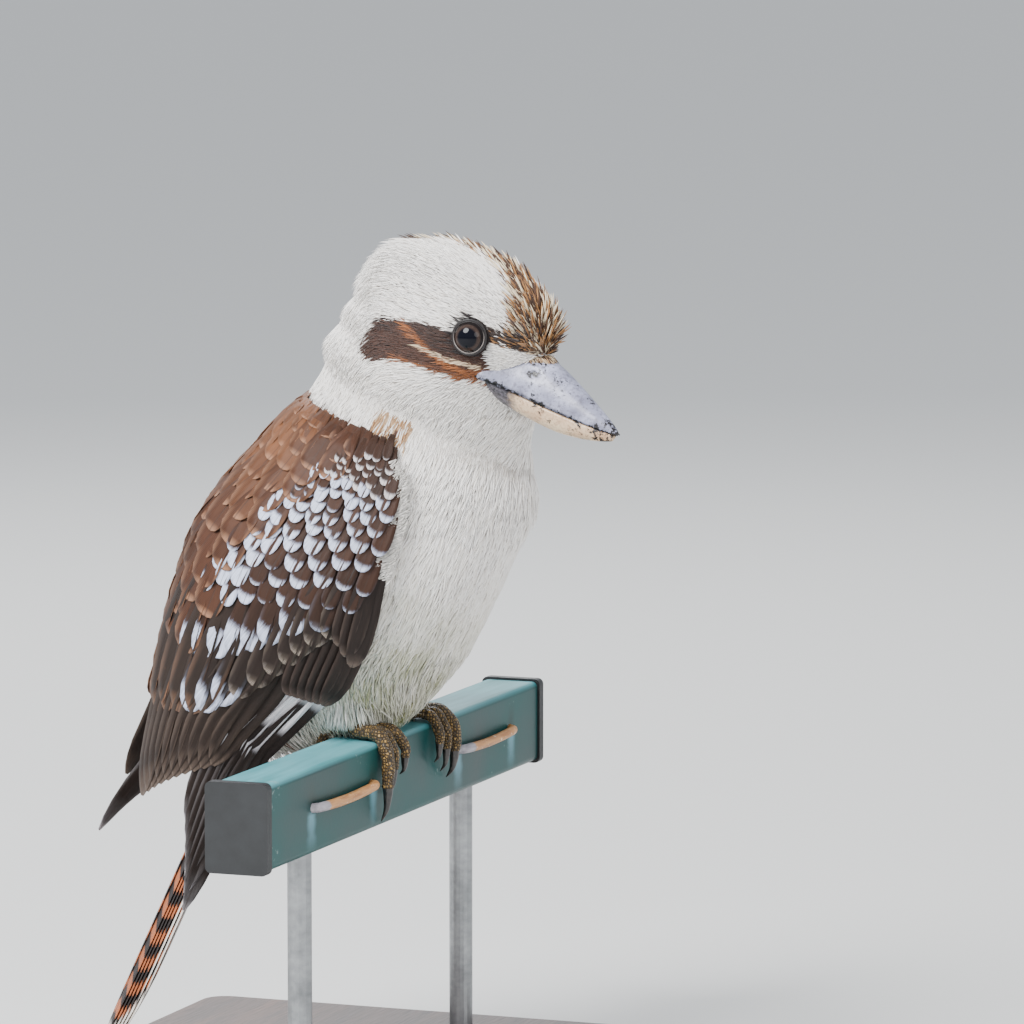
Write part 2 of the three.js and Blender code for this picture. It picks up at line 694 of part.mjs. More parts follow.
// A claw goes on in the toe's direction and curves to its tip
function clawSolid(path, tip, size) {
  const curve = new THREE.CatmullRomCurve3(path);
  const end = curve.getPointAt(1);
  const ahead = curve.getTangentAt(1);
  const root = end.clone().addScaledVector(ahead, GAP);
  const knuckle = end.clone().addScaledVector(ahead, 2.6 * size);
  const point = vec(tip[0], end.y, tip[1]);
  const bend = knuckle.clone().lerp(point, 0.55);
  bend.x += Math.sign(end.x) * CLAW_BOW;
  return taperedTube([root, knuckle, bend, point], CLAW_RADII.map((r) => r * size), 6, 4);
}

function footSolid(foot, grow = 0) {
  const pieces = foot.toes.map((toe) => {
    const radius = TOE_RADIUS * toe.size + grow;
    return taperedTube(toePath(foot, toe), [radius, radius, radius * 0.95, radius * 0.82], 7, 6);
  });
  const hind = halluxPath(foot);
  pieces.push(taperedTube(hind, [TOE_RADIUS + grow, TOE_RADIUS * 0.9 + grow, TOE_RADIUS * 0.8 + grow], 7, 5));
  pieces.push(ball(vec(...foot.ankle), 4.1 + grow, 8, 5));
  return union(pieces);
}

// Feathered thighs, from the belly down to the ankles
const LEG_TOP = [-7, 0, 32];
const LEG_RADII = [15, 13.5, 9, 4.6];

function legSolid(foot, grow = 0) {
  const ankle = vec(...foot.ankle).applyAxisAngle(vec(0, 0, 1), -degrees(TORSO_YAW));
  const top = ankle.clone().add(vec(...LEG_TOP)).setZ(LEG_TOP[2]);
  top.y *= 0.82;
  const path = [top, top.clone().lerp(ankle, 0.5).add(vec(2, 0, 0)), ankle.clone().setZ(ankle.z - 1)];
  return taperedTube(path, LEG_RADII.map((r) => r + grow), 14, 6, grow);
}

const perchOuter = (grow) => {
  const shape = new THREE.Shape();
  const w = BAR_WIDTH / 2 + grow;
  const h = BAR_HEIGHT / 2 + grow;
  const r = BAR_CORNER;
  shape.moveTo(-w + r, -h);
  shape.lineTo(w - r, -h);
  shape.absarc(w - r, -h + r, r, -Math.PI / 2, 0);
  shape.lineTo(w, h - r);
  shape.absarc(w - r, h - r, r, 0, Math.PI / 2);
  shape.lineTo(-w + r, h);
  shape.absarc(-w + r, h - r, r, Math.PI / 2, Math.PI);
  shape.lineTo(-w, -h + r);
  shape.absarc(-w + r, -h + r, r, Math.PI, 1.5 * Math.PI);
  return shape;
};

// A shape in X and Z drawn out along Y, between two places
function alongBar(shape, from, to, curveSegments = 2) {
  return new THREE.ExtrudeGeometry(shape, { depth: to - from, bevelEnabled: false, curveSegments })
    .rotateX(Math.PI / 2)
    .translate(0, to, -BAR_HEIGHT / 2);
}

const barSpace = toSolid(alongBar(perchOuter(GAP), -BAR_LENGTH / 2, BAR_LENGTH / 2));

// Materials

const MATERIALS = {
  whiteFeather: new THREE.MeshStandardMaterial({ color: 0xe9e5df, roughness: 0.9 }),
  brownFeather: new THREE.MeshStandardMaterial({ color: 0x4a342a, roughness: 0.8 }),
  tailFeather: new THREE.MeshStandardMaterial({ color: 0xb0673a, roughness: 0.8 }),
  upperBill: new THREE.MeshStandardMaterial({ color: 0x6d6e7c, roughness: 0.45 }),
  lowerBill: new THREE.MeshStandardMaterial({ color: 0xcbb596, roughness: 0.45 }),
  eye: new THREE.MeshStandardMaterial({ color: 0x120d0c, roughness: 0.05 }),
  footScale: new THREE.MeshStandardMaterial({ color: 0x6b5a3a, roughness: 0.55 }),
  claw: new THREE.MeshStandardMaterial({ color: 0x161412, roughness: 0.35 }),
  barPaint: new THREE.MeshStandardMaterial({ color: 0x2d6f6d, roughness: 0.4, metalness: 0.2 }),
  capPlastic: new THREE.MeshStandardMaterial({ color: 0x15181a, roughness: 0.5 }),
  cord: new THREE.MeshStandardMaterial({ color: 0xc8a878, roughness: 0.7 }),
  standWood: new THREE.MeshStandardMaterial({ color: 0x2b211b, roughness: 0.5 }),
  rodSteel: new THREE.MeshStandardMaterial({ color: 0xa9adb0, roughness: 0.3, metalness: 1 }),
};

const model = new THREE.Group();
const perch = new THREE.Group();
perch.position.set(PERCH_X, 0, BAR_TOP);
model.add(perch);
const bird = new THREE.Group();
bird.rotation.z = degrees(TORSO_YAW);
perch.add(bird);

function addMesh(parent, name, geometry, material) {
  const mesh = new THREE.Mesh(geometry, material);
  mesh.name = name;
  parent.add(mesh);
}

// Solids in the perch's frame, seen from the bird's
const birdFromPerch = (solid) => solid.rotate([0, 0, -TORSO_YAW]);

const barInBird = birdFromPerch(barSpace);
const feetSpace = union(Object.values(FEET).map((foot) => birdFromPerch(footSolid(foot, GAP))));

// Torso and legs, parted by thin cuts
const legSpaces = Object.values(FEET).map((foot) => legSolid(foot, GAP));
const torsoCuts = [barInBird, feetSpace, ...legSpaces];
const torso = torsoCuts.reduce((rest, cut) => rest.subtract(cut), torsoSolid());
addMesh(bird, "torso", toGeometry(largest(torso)), MATERIALS.whiteFeather);
for (const [side, foot] of Object.entries(FEET)) {
  const leg = legSolid(foot).subtract(barInBird).subtract(feetSpace);
  addMesh(bird, `leg_${side}`, toGeometry(largest(leg)), MATERIALS.whiteFeather);
}

// Neck and head
addMesh(bird, "neck", toGeometry(headSolid(0, HEAD_CUT, NECK_RING_COUNT, 0, GAP)), MATERIALS.whiteFeather);
const bareHead = headSolid(HEAD_CUT, HEAD_TOP, HEAD_RING_COUNT, 0, GAP);
const crown = crownVanes(toGeometry(bareHead));
let head = union([bareHead, ...crown, lidRing(-1), lidRing(1)]).subtract(mouthGroove());
for (const [side, name] of [[-1, "eye_right"], [1, "eye_left"]]) {
  head = head.subtract(ball(eyeCentre(side), EYE_RADIUS + GAP, EYE_COLUMNS, EYE_ROWS));
  addMesh(bird, name, toGeometry(ball(eyeCentre(side), EYE_RADIUS, EYE_COLUMNS, EYE_ROWS)), MATERIALS.eye);
}
addMesh(bird, "head", toGeometry(largest(head)), MATERIALS.whiteFeather);

// Bill
const torsoSpace = torsoSolid(GAP);
const neckSpace = headSolid(0, HEAD_CUT, NECK_RING_COUNT, GAP);
const headSpace = headSolid(HEAD_CUT, HEAD_TOP, HEAD_RING_COUNT, GAP);
const upperBill = billHalf(true).subtract(headSpace).subtract(nostril(-1)).subtract(nostril(1));
addMesh(bird, "upper_bill", toGeometry(largest(upperBill)), MATERIALS.upperBill);
const lowerBill = billHalf(false).subtract(headSpace).subtract(neckSpace);
addMesh(bird, "lower_bill", toGeometry(largest(lowerBill)), MATERIALS.lowerBill);

// Wings
for (const wing of WINGS) {
  const tiers = [{ ...PRIMARIES, tip: wing.primaryTips }, ...WING_TIERS];
  const pieces = [wingCore(wing), ...tiers.flatMap((tier) => tierVanes(wing, tier))];
  const cuts = [torsoSpace, barInBird, neckSpace, ...legSpaces];
  const solid = cuts.reduce((rest, cut) => rest.subtract(cut), union(pieces));
  addMesh(bird, wing.name, toGeometry(largest(solid)), MATERIALS.brownFeather);
}

addMesh(bird, "tail", toGeometry(tailSolid()), MATERIALS.tailFeather);

// Feet and claws
for (const [side, foot] of Object.entries(FEET)) {
  addMesh(perch, `foot_${side}`, toGeometry(largest(footSolid(foot).subtract(barSpace))), MATERIALS.footScale);
  const toes = foot.toes.map((toe) => ({ ...toe, path: toePath(foot, toe) }));
  toes.push({ name: "hind", path: halluxPath(foot), claw: HALLUX_CLAW, size: 0.9 });
  for (const { name, path, claw, size } of toes) {
    const solid = clawSolid(path, claw, size).subtract(barSpace);
    addMesh(perch, `claw_${side}_${name}`, toGeometry(largest(solid)), MATERIALS.claw);
  }
}

// Perch: a tube with plugged ends, and two short runs of cord that go in and out of its front face
const cordPath = ([from, to]) => [
  vec(CORD_INSIDE, from, CORD_LEVEL),
  vec(BAR_WIDTH / 2 - 0.4, from + 1, CORD_LEVEL),
  vec(CORD_OUT, from + 6, CORD_LEVEL),
  vec(CORD_OUT, (from + to) / 2, CORD_LEVEL - 0.8),
  vec(CORD_OUT, to - 6, CORD_LEVEL),
  vec(BAR_WIDTH / 2 - 0.4, to - 1, CORD_LEVEL),
  vec(CORD_INSIDE, to, CORD_LEVEL),
];
const cordTube = (run, grow = 0) => {
  const radius = CORD_DIAMETER / 2 + grow;
  return taperedTube(cordPath(run), [radius, radius], 8, CORD_STEPS, grow);
};

let bar = toSolid(alongBar(perchOuter(0), -BAR_LENGTH / 2, BAR_LENGTH / 2)).subtract(
  toSolid(alongBar(perchOuter(-BAR_WALL), -BAR_LENGTH / 2 - 1, BAR_LENGTH / 2 + 1)),
);
for (const [name, run] of Object.entries(CORD_RUNS)) {
  bar = bar.subtract(cordTube(run, GAP));
  addMesh(perch, `perch_cord_${name}`, toGeometry(cordTube(run)), MATERIALS.cord);
}
addMesh(perch, "perch_bar", toGeometry(bar), MATERIALS.barPaint);

for (const [name, side] of [["near", -1], ["far", 1]]) {
  const end = (side * BAR_LENGTH) / 2;
  const span = (from, to) => [end + side * from, end + side * to].sort((a, b) => a - b);
  const plate = toSolid(alongBar(perchOuter(CAP_LIP), ...span(GAP, CAP_THICKNESS)));
  const plug = toSolid(alongBar(perchOuter(-BAR_WALL - GAP), ...span(-CAP_PLUG, GAP + 1)));
  addMesh(perch, `perch_cap_${name}`, toGeometry(plate.add(plug)), MATERIALS.capPlastic);
}

// Stand: a flat base and two short rods up to the tube
const plate = new THREE.Shape();
plate.moveTo(-BASE_LENGTH / 2 + BASE_CORNER, -BASE_WIDTH / 2);
for (const [sx, sy, start] of [[1, -1, -0.5], [1, 1, 0], [-1, 1, 0.5], [-1, -1, 1]]) {
  const x = sx * (BASE_LENGTH / 2 - BASE_CORNER);
  const y = sy * (BASE_WIDTH / 2 - BASE_CORNER);
  plate.absarc(x, y, BASE_CORNER, start * Math.PI, (start + 0.5) * Math.PI);
}
const baseSlab = new THREE.ExtrudeGeometry(plate, {
  depth: BASE_HEIGHT - 2 * BASE_CHAMFER,
  bevelThickness: BASE_CHAMFER,
  bevelSize: BASE_CHAMFER,
  bevelOffset: -BASE_CHAMFER,
  bevelSegments: 1,
  curveSegments: 3,
}).translate(0, 0, BASE_CHAMFER);
addMesh(model, "stand_base", baseSlab, MATERIALS.standWood);

const ROD_LENGTH = BAR_TOP - BAR_HEIGHT - BASE_HEIGHT - 2 * GAP;
for (const [name, y] of [["near", -ROD_SPREAD], ["far", ROD_SPREAD]]) {
  const rod = new THREE.CylinderGeometry(ROD_DIAMETER / 2, ROD_DIAMETER / 2, ROD_LENGTH, 20)
    .rotateX(Math.PI / 2)
    .translate(PERCH_X, y, BASE_HEIGHT + GAP + ROD_LENGTH / 2);
  addMesh(model, `stand_rod_${name}`, rod, MATERIALS.rodSteel);
}

export default model;
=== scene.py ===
import math
import random

import bmesh
import bpy
import numpy as np
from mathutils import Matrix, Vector


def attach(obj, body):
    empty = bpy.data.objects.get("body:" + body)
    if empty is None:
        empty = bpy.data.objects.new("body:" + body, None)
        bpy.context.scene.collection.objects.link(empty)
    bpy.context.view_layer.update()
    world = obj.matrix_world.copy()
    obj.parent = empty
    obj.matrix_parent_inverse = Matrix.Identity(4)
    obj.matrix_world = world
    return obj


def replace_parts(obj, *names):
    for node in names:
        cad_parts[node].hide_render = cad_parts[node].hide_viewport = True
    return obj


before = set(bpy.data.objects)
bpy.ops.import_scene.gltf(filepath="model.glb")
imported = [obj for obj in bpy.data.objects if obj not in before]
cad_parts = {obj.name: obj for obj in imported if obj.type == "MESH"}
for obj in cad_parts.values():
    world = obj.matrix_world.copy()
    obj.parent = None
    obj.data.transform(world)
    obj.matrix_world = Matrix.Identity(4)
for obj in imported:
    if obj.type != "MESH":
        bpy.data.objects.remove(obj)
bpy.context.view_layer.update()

# Places are in millimetres in the bird's own frame, which sits on top of the perch.
# In that frame +X is where the breast faces, +Z is up and the origin is between the feet.

MM = 0.001
BAR_TOP = 156
PERCH_X = 28
PERCH = (PERCH_X, 0, BAR_TOP)
BIRD_TURN = math.radians(18)
TURN = np.array([
    [math.cos(BIRD_TURN), -math.sin(BIRD_TURN), 0],
    [math.sin(BIRD_TURN), math.cos(BIRD_TURN), 0],
    [0, 0, 1],
])
UP = np.array([0, 0, 1.0])
WORD = {1: "left", -1: "right"}


def to_row(points):
    return (np.asarray(points) @ TURN.T + PERCH) * MM


def to_bird(points):
    return (np.asarray(points) / MM - PERCH) @ TURN


def perch_to_row(points):
    return (np.asarray(points, float) + PERCH) * MM


def perch_to_bird(points):
    return np.asarray(points, float) @ TURN


def unit(v):
    return v / np.maximum(np.linalg.norm(v, axis=-1, keepdims=True), 1e-9)


def square_to(v, other):
    """The part of v at right angles to other, one long."""
    return unit(v - other * (v * other).sum(1, keepdims=True))


def smoothstep(x, low, high):
    t = np.clip((x - low) / (high - low), 0, 1)
    return t * t * (3 - 2 * t)


def mix(a, b, t):
    """Between two colours, for one share or a share for each of many."""
    t = np.asarray(t, float)
    return a + (np.asarray(b) - a) * (t[..., None] if t.ndim else t)


def over(colour, where, new):
    return np.where(where[:, None], new, colour)


def tone(r, g, b):
    """A screen colour as linear light."""
    c = np.array([r, g, b]) / 255
    return np.where(c < 0.04045, c / 12.92, ((c + 0.055) / 1.055) ** 2.4)


# The body's own forms, as rings and shells with the same named sizes as the solids

AXIS_TOP = np.array([10, 0, 135.0])
AXIS_LEAN = math.radians(25.8)
AXIS_DOWN = np.array([-math.sin(AXIS_LEAN), 0, -math.cos(AXIS_LEAN)])
AXIS_BACK = np.array([-math.cos(AXIS_LEAN), 0, math.sin(AXIS_LEAN)])

# Each row: place down the body, reach to the back, reach to the front, half width
TORSO_STATIONS = [
    (0, 39, 57, 37), (18, 40.5, 65.5, 42), (36, 43.5, 69, 45), (60, 49, 70, 48), (80, 51, 69, 48),
    (104, 47, 63, 44), (122, 37, 54, 36), (137, 26, 40, 25), (150, 14, 18, 13),
]
WING_STATIONS = [
    (-6, 36, 52, 37), (18, 42.5, 66, 45.5), (36, 46, 69, 50), (60, 52.5, 71, 54), (80, 55.5, 70.5, 54),
    (104, 53, 65, 50), (122, 49.5, 56, 43.5), (137, 46, 44, 36), (152, 42, 33, 30), (175, 36, 26, 26.5),
    (200, 30, 24, 24.5), (240, 24, 24, 23),
]
TAIL_PLACE = 150.3
TAIL_FLESH = [(0, 14, 18, 13), (12, 9, 11, 9.5), (24, 6, 6, 7), (34, 3.4, 3.4, 5)]
# Each row: number, centre, yaw, tilt, reach to the front and back, half width, how pointed the front is
HEAD_RINGS = [
    (0, 18.1, 0, 131.1, 0, -25.8, 48, 48, 37, 1), (1, 19, -5, 141, -14, -22, 49, 46, 36.5, 1.1),
    (2, 22, -9, 150, -25, -19, 51, 49, 36.5, 1.35), (3, 27, -13, 160, -33, -15, 52, 49, 36.5, 1.65),
    (4, 30, -16, 171, -36, -10, 53, 47, 36.5, 1.25), (5, 31, -17, 181.5, -36, -5, 49, 42, 35.5, 1.05),
    (6, 28, -15, 193, -36, -2, 37, 39, 31.5, 1), (7, 23, -12, 200, -36, 0, 26, 27, 24, 1),
    (8, 20, -9.5, 204.4, -36, 0, 15, 14, 13, 1),
]
HEAD_ORIGIN = np.array([26, -13, 166.0])
HEAD_YAW = math.radians(-36)
HEAD_AHEAD = np.array([math.cos(HEAD_YAW), math.sin(HEAD_YAW), 0])
HEAD_LEFT = np.array([-HEAD_AHEAD[1], HEAD_AHEAD[0], 0])


def station_row(stations, place):
    """Numbers at a place between stations, on a smooth curve through them."""
    rows = np.array(stations, float)
    last = len(rows) - 1
    i = int(np.clip(np.searchsorted(rows[:, 0], place, side="left") - 1, 0, last - 1))
    before, start, end, after = rows[max(i - 1, 0)], rows[i], rows[i + 1], rows[min(i + 2, last)]
    span = end[0] - start[0]
    t = min(max((place - start[0]) / span, 0), 1)
    slope_a = (end[1:] - before[1:]) / (end[0] - before[0]) * span
    slope_b = (after[1:] - start[1:]) / (after[0] - start[0]) * span
    return (
        (2 * t**3 - 3 * t**2 + 1) * start[1:] + (t**3 - 2 * t**2 + t) * slope_a
        + (3 * t**2 - 2 * t**3) * end[1:] + (t**3 - t**2) * slope_b
    )


WING_PLACES = np.arange(-6, 241.0)
WING_ROWS = np.array([station_row(WING_STATIONS, p) for p in WING_PLACES])


def wing_sizes(p):
    return (np.interp(p, WING_PLACES, WING_ROWS[:, k]) for k in range(3))


def on_axis(p, q, side):
    p, q, side = np.broadcast_arrays(p, q, side)
    point = AXIS_TOP + p[..., None] * AXIS_DOWN + q[..., None] * AXIS_BACK
    return point + side[..., None] * np.array([0, 1.0, 0])


def shell_point(side, lift, p, turn, height):
    """A point on the folded wing's shell, by its place down the body and its turn from the flank."""
    dorsal, ventral, half = wing_sizes(p)
    raised = lift * smoothstep(p, 140, 235)
    q = (dorsal - ventral) / 2 + raised + ((dorsal + ventral) / 2 + height) * np.sin(np.radians(turn))
    return on_axis(p, q, side * (half + height) * np.cos(np.radians(turn)))


def body_ring(row, grow, count):
    x, y, z, yaw, tilt, front, back, half, point = row
    yaw, tilt = math.radians(yaw), math.radians(tilt)
    ahead = np.array([math.cos(yaw) * math.cos(tilt), math.sin(yaw) * math.cos(tilt), math.sin(tilt)])
    left = np.array([-math.sin(yaw), math.cos(yaw), 0])
    angle = np.linspace(0, 2 * np.pi, count, endpoint=False)
    c, s = np.cos(angle), np.sin(angle)
    reach = np.where(c > 0, front, back) + grow
    across = np.sign(s) * np.abs(s) ** np.where(c > 0, point, 1) * (half + grow)
    return np.array([x, y, z]) + np.outer(reach * c, ahead) + np.outer(across, left)


def torso_ring(p, grow, count):
    dorsal, ventral, half = station_row(TORSO_STATIONS, p)
    reach = (dorsal + ventral) / 2
    centre = on_axis(p, (dorsal - ventral) / 2, 0.0)
    return body_ring((*centre, 0, -math.degrees(AXIS_LEAN), reach, reach, half, 1), grow, count)


def curve_through(points, steps):
    """Points at even steps on a smooth curve through the given ones."""
    points = np.asarray(points, float)
    rows = np.column_stack([np.arange(len(points)), points])
    return np.array([station_row(rows, t) for t in np.linspace(0, len(points) - 1, steps)])


def tube_rings(path, radii, count):
    """Rings round a path, which don't twist along it."""
    tangent = unit(np.gradient(path, axis=0))
    side = np.cross(tangent[0], (0.3, 0.9, 0.2))
    sides = []
    for t in tangent:
        side = unit(side - t * (side @ t))
        sides.append(side)
    sides = np.array(sides)
    angle = np.linspace(0, 2 * np.pi, count, endpoint=False)[:, None, None]
    ring = np.cos(angle) * sides + np.sin(angle) * np.cross(tangent, sides)
    return np.swapaxes(path + ring * np.asarray(radii)[:, None], 0, 1)


# Mesh helpers

def places_of(verts):
    return np.array([v.co[:] for v in verts])


def move_to(verts, points):
    for vert, point in zip(verts, points):
        vert.co = point


def loft(bm, rings, closed=False):
    """A skin through rings of points in the row's frame, with two ends or closed on itself."""
    loops = []
    for ring in rings:
        made = bmesh.ops.create_circle(bm, segments=len(ring), radius=MM)["verts"]
        move_to(made, ring)
        loops.append(list(dict.fromkeys(edge for vert in made for edge in vert.link_edges)))
    following = loops[1:] + loops[:1] if closed else loops[1:]
    for one, two in zip(loops, following):
        bmesh.ops.bridge_loops(bm, edges=one + two)
    if not closed:
        bmesh.ops.holes_fill(bm, edges=loops[0] + loops[-1], sides=0)


def new_object(name, data):
    made = bpy.data.objects.new(name, data)
    bpy.context.scene.collection.objects.link(made)
    return made


def mesh_from(bm, name):
    mesh = bpy.data.meshes.new(name)
    bm.to_mesh(mesh)
    bm.free()
    return mesh


def dress(mesh, name, material):
    piece = new_object(name, mesh)
    mesh.materials.append(material)
    mesh.polygons.foreach_set("use_smooth", np.full(len(mesh.polygons), True))
    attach(piece, "root")
    return piece


def finish_mesh(bm, name, material):
    bmesh.ops.recalc_face_normals(bm, faces=bm.faces)
    return dress(mesh_from(bm, name), name, material)


def paint(mesh, name, values):
    """Keeps one colour for each point of a mesh."""
    layer = mesh.attributes.new(name, "FLOAT_COLOR", "POINT")
    values = np.asarray(values, float)
    full = np.ones((len(mesh.vertices), 4), np.float32)
    full[:, : values.shape[1]] = values
    layer.data.foreach_set("color", full.ravel())


def lay_map(mesh, name, uv):
    layer = mesh.uv_layers.new(name=name)
    corner = np.empty(len(mesh.loops), np.int32)
    mesh.loops.foreach_get("vertex_index", corner)
    layer.data.foreach_set("uv", np.asarray(uv, np.float32)[corner].ravel())


# Forms of one tuft and one vane: across -1 to 1, along 0 to 1, and height in the middle

TUFT_LEVELS = (0, 0.35, 0.7, 1)
TUFT_WIDTHS = (0.6, 1, 0.72, 0.06)


def form_arrays(bm):
    points = places_of(bm.verts)
    bm.verts.index_update()
    faces = [[v.index for v in f.verts] for f in bm.faces]
    bm.free()
    return points, faces


def tuft_form():
    bm = bmesh.new()
    bmesh.ops.create_cone(bm, cap_ends=True, segments=3, radius1=1, radius2=1, depth=1)
    for level in TUFT_LEVELS[1:-1]:
        whole = bm.verts[:] + bm.edges[:] + bm.faces[:]
        bmesh.ops.bisect_plane(bm, geom=whole, plane_co=(0, 0, level - 0.5), plane_no=(0, 0, 1))
    points, faces = form_arrays(bm)
    along = points[:, 2] + 0.5
    width = np.interp(along, TUFT_LEVELS, TUFT_WIDTHS)
    return np.stack([points[:, 0] * width, along, points[:, 1] * width], 1), faces


def vane_form(levels, widths, columns):
    bm = bmesh.new()
    bmesh.ops.create_grid(bm, x_segments=columns - 1, y_segments=len(levels) - 1, size=1)
    bmesh.ops.solidify(bm, geom=bm.faces[:], thickness=-1)
    bmesh.ops.recalc_face_normals(bm, faces=bm.faces)
    points, faces = form_arrays(bm)
    step = np.rint((points[:, 1] + 1) / 2 * (len(levels) - 1)).astype(int)
    height = np.where(points[:, 2] > 0.5, 1, np.where(points[:, 2] < -0.5, -1, 0))
    height = height - min(height.min(), 0)
    return np.stack([points[:, 0] * np.array(widths)[step], np.array(levels)[step], height], 1), faces


TUFT = tuft_form()
SMALL_VANE = vane_form((0, 0.35, 0.6, 0.78, 0.9, 0.97, 1), (0.5, 0.85, 1, 0.98, 0.8, 0.5, 0.15), 5)
QUILL_VANE = vane_form(
    (0, 0.12, 0.25, 0.38, 0.5, 0.62, 0.74, 0.84, 0.91, 0.96, 1),
    (0.35, 0.62, 0.8, 0.93, 1, 1, 0.97, 0.88, 0.7, 0.46, 0.12), 7,
)
PATCH = 0.003


def levels_of(form):
    return np.unique(form[0][:, 1])


def lay_forms(name, form, centres, across, out, half, thick, camber, unwrap, colours, material):
    """Joins one form per row of places: centres has a point for each level of the form."""
    shape, faces = form
    count, size = len(centres), len(shape)
    step = np.searchsorted(levels_of(form), shape[:, 1])
    a, h = shape[:, 0], shape[:, 2]
    half, thick, camber = (np.broadcast_to(v, count)[:, None, None] for v in (half, thick, camber))
    sideways = across[:, step] * (a[None, :, None] * half)
    curl = -camber * half * (a[None, :, None] ** 2)
    points = centres[:, step] + sideways + out[:, step] * (curl + h[None, :, None] * thick)
    joined = [[v + i * size for v in face] for i in range(count) for face in faces]
    mesh = bpy.data.meshes.new(name)
    mesh.from_pydata(to_row(points.reshape(-1, 3)), [], joined)
    local = np.stack([a / 2 + 0.5, shape[:, 1]], 1)
    patch = np.clip(unwrap, 0, 1 - PATCH)[:, None, :] + local[None] * PATCH
    lay_map(mesh, "OFBake", patch.reshape(-1, 2))
    lay_map(mesh, "Vane", np.tile(local, (count, 1)))
    for layer, values in colours.items():
        paint(mesh, layer, np.repeat(values, size, axis=0))
    return dress(mesh, name, material)


# Where a point is on the bird: in the head's frame, and along and around the body

def in_head(points):
    d = points - HEAD_ORIGIN
    return d @ HEAD_AHEAD, d @ HEAD_LEFT, d[..., 2]


def on_body(points):
    d = points - AXIS_TOP
    return d @ AXIS_DOWN, d @ AXIS_BACK, points[..., 1]


EYE_AHEAD, EYE_SIDE, EYE_UP = 35.5, 24.6, 4
EYE_RADIUS = 7.2
EYE_TURN = math.radians(24)


def eye_centre(side):
    return HEAD_ORIGIN + EYE_AHEAD * HEAD_AHEAD + side * EYE_SIDE * HEAD_LEFT + EYE_UP * UP


def eye_outwards(side):
    return side * math.cos(EYE_TURN) * HEAD_LEFT + math.sin(EYE_TURN) * HEAD_AHEAD


BILL_FOCUS = HEAD_ORIGIN + 60 * HEAD_AHEAD - 6 * UP
BILL_LENGTH = 73
BILL_PITCH = math.radians(-21.5)
GAPE = HEAD_ORIGIN + 24.6 * HEAD_AHEAD - 8.2 * UP
BILL_AHEAD = HEAD_AHEAD * math.cos(BILL_PITCH) + UP * math.sin(BILL_PITCH)
BILL_UP = -HEAD_AHEAD * math.sin(BILL_PITCH) + UP * math.cos(BILL_PITCH)
# Each row: place along the bill, half width, height of the ridge, depth of the keel
BILL_STATIONS = [
    (-4, 14.5, 14, 10), (10, 14.2, 14.5, 11.5), (24, 12.6, 14.2, 12), (36, 10.6, 12.6, 12),
    (46, 8.6, 10, 11.2), (56, 6.4, 7, 9), (64, 4.3, 4.4, 6.3), (70, 2.2, 2.2, 3.6),
    (BILL_LENGTH, 0.6, 0.5, 1.2),
]
BILL_PLACES = np.arange(-4, BILL_LENGTH + 0.5, 0.5)
BILL_ROWS = np.array([station_row(BILL_STATIONS, place) for place in BILL_PLACES])
NOSTRIL_ALONG, NOSTRIL_UP = 30, 8.6


def bill_sizes(along):
    return (np.interp(along, BILL_PLACES, BILL_ROWS[:, k]) for k in range(3))


def bill_edge(along, half, angle, share=1.0):
    """Across the bill, which grows wider towards the corner of the mouth under the eye."""
    flare = np.interp(along, (6, 13, 18, 24, 30, 38), (6.0, 7.2, 4.6, 1.9, 0.6, 0)) * share
    return half * np.cos(angle) + flare * np.sign(np.cos(angle)) * np.abs(np.cos(angle)) ** 9


def on_bill(along, side, up):
    along, side, up = (np.asarray(v, float)[..., None] for v in (along, side, up))
    return GAPE + along * BILL_AHEAD + side * HEAD_LEFT + up * BILL_UP


def in_bill(points):
    d = points - GAPE
    return d @ BILL_AHEAD, np.abs(d @ HEAD_LEFT), d @ BILL_UP


def off_bill(points):
    """Everywhere but inside the bill."""
    along, side, up = in_bill(points)
    half, culmen, keel = bill_sizes(along)
    inside = (side / half) ** 2 + (up / np.where(up > 0, culmen, keel)) ** 2 < 1.04
    edge = (side < bill_edge(along, half, 0.0)) & (np.abs(up) < 1.6)
    return ~((along > 0) & (along < BILL_LENGTH) & (inside | edge))


NAPE_TURNS, NAPE_PLACES = (0, 14, 34, 60, 90), (9, 11, 15, 14.5, 13)
NAPE_OVERLAP = 5
WING_TOP, WING_LENGTH = 13, 137
FRONT_EDGE = ((0, 10), (0.12, 0), (0.3, -6), (0.6, -15), (1, -22))
FRONT_PLACES = [WING_TOP + WING_LENGTH * share for share, _ in FRONT_EDGE]
FRONT_TURNS = [turn for _, turn in FRONT_EDGE]


def bare_back(points):
    """Where the wings and the mantle cover the body, so none of the coat is laid there."""
    p, q, side = on_body(points)
    dorsal, ventral, half = wing_sizes(p)
    height = (q - (dorsal - ventral) / 2) / ((dorsal + ventral) / 2)
    turn = np.degrees(np.arctan2(height, np.abs(side) / half))
    below_nape = p > np.interp(turn, NAPE_TURNS, NAPE_PLACES) - NAPE_OVERLAP
    return below_nape & (turn > np.interp(p, FRONT_PLACES, FRONT_TURNS))


# Feather colours as they look in daylight

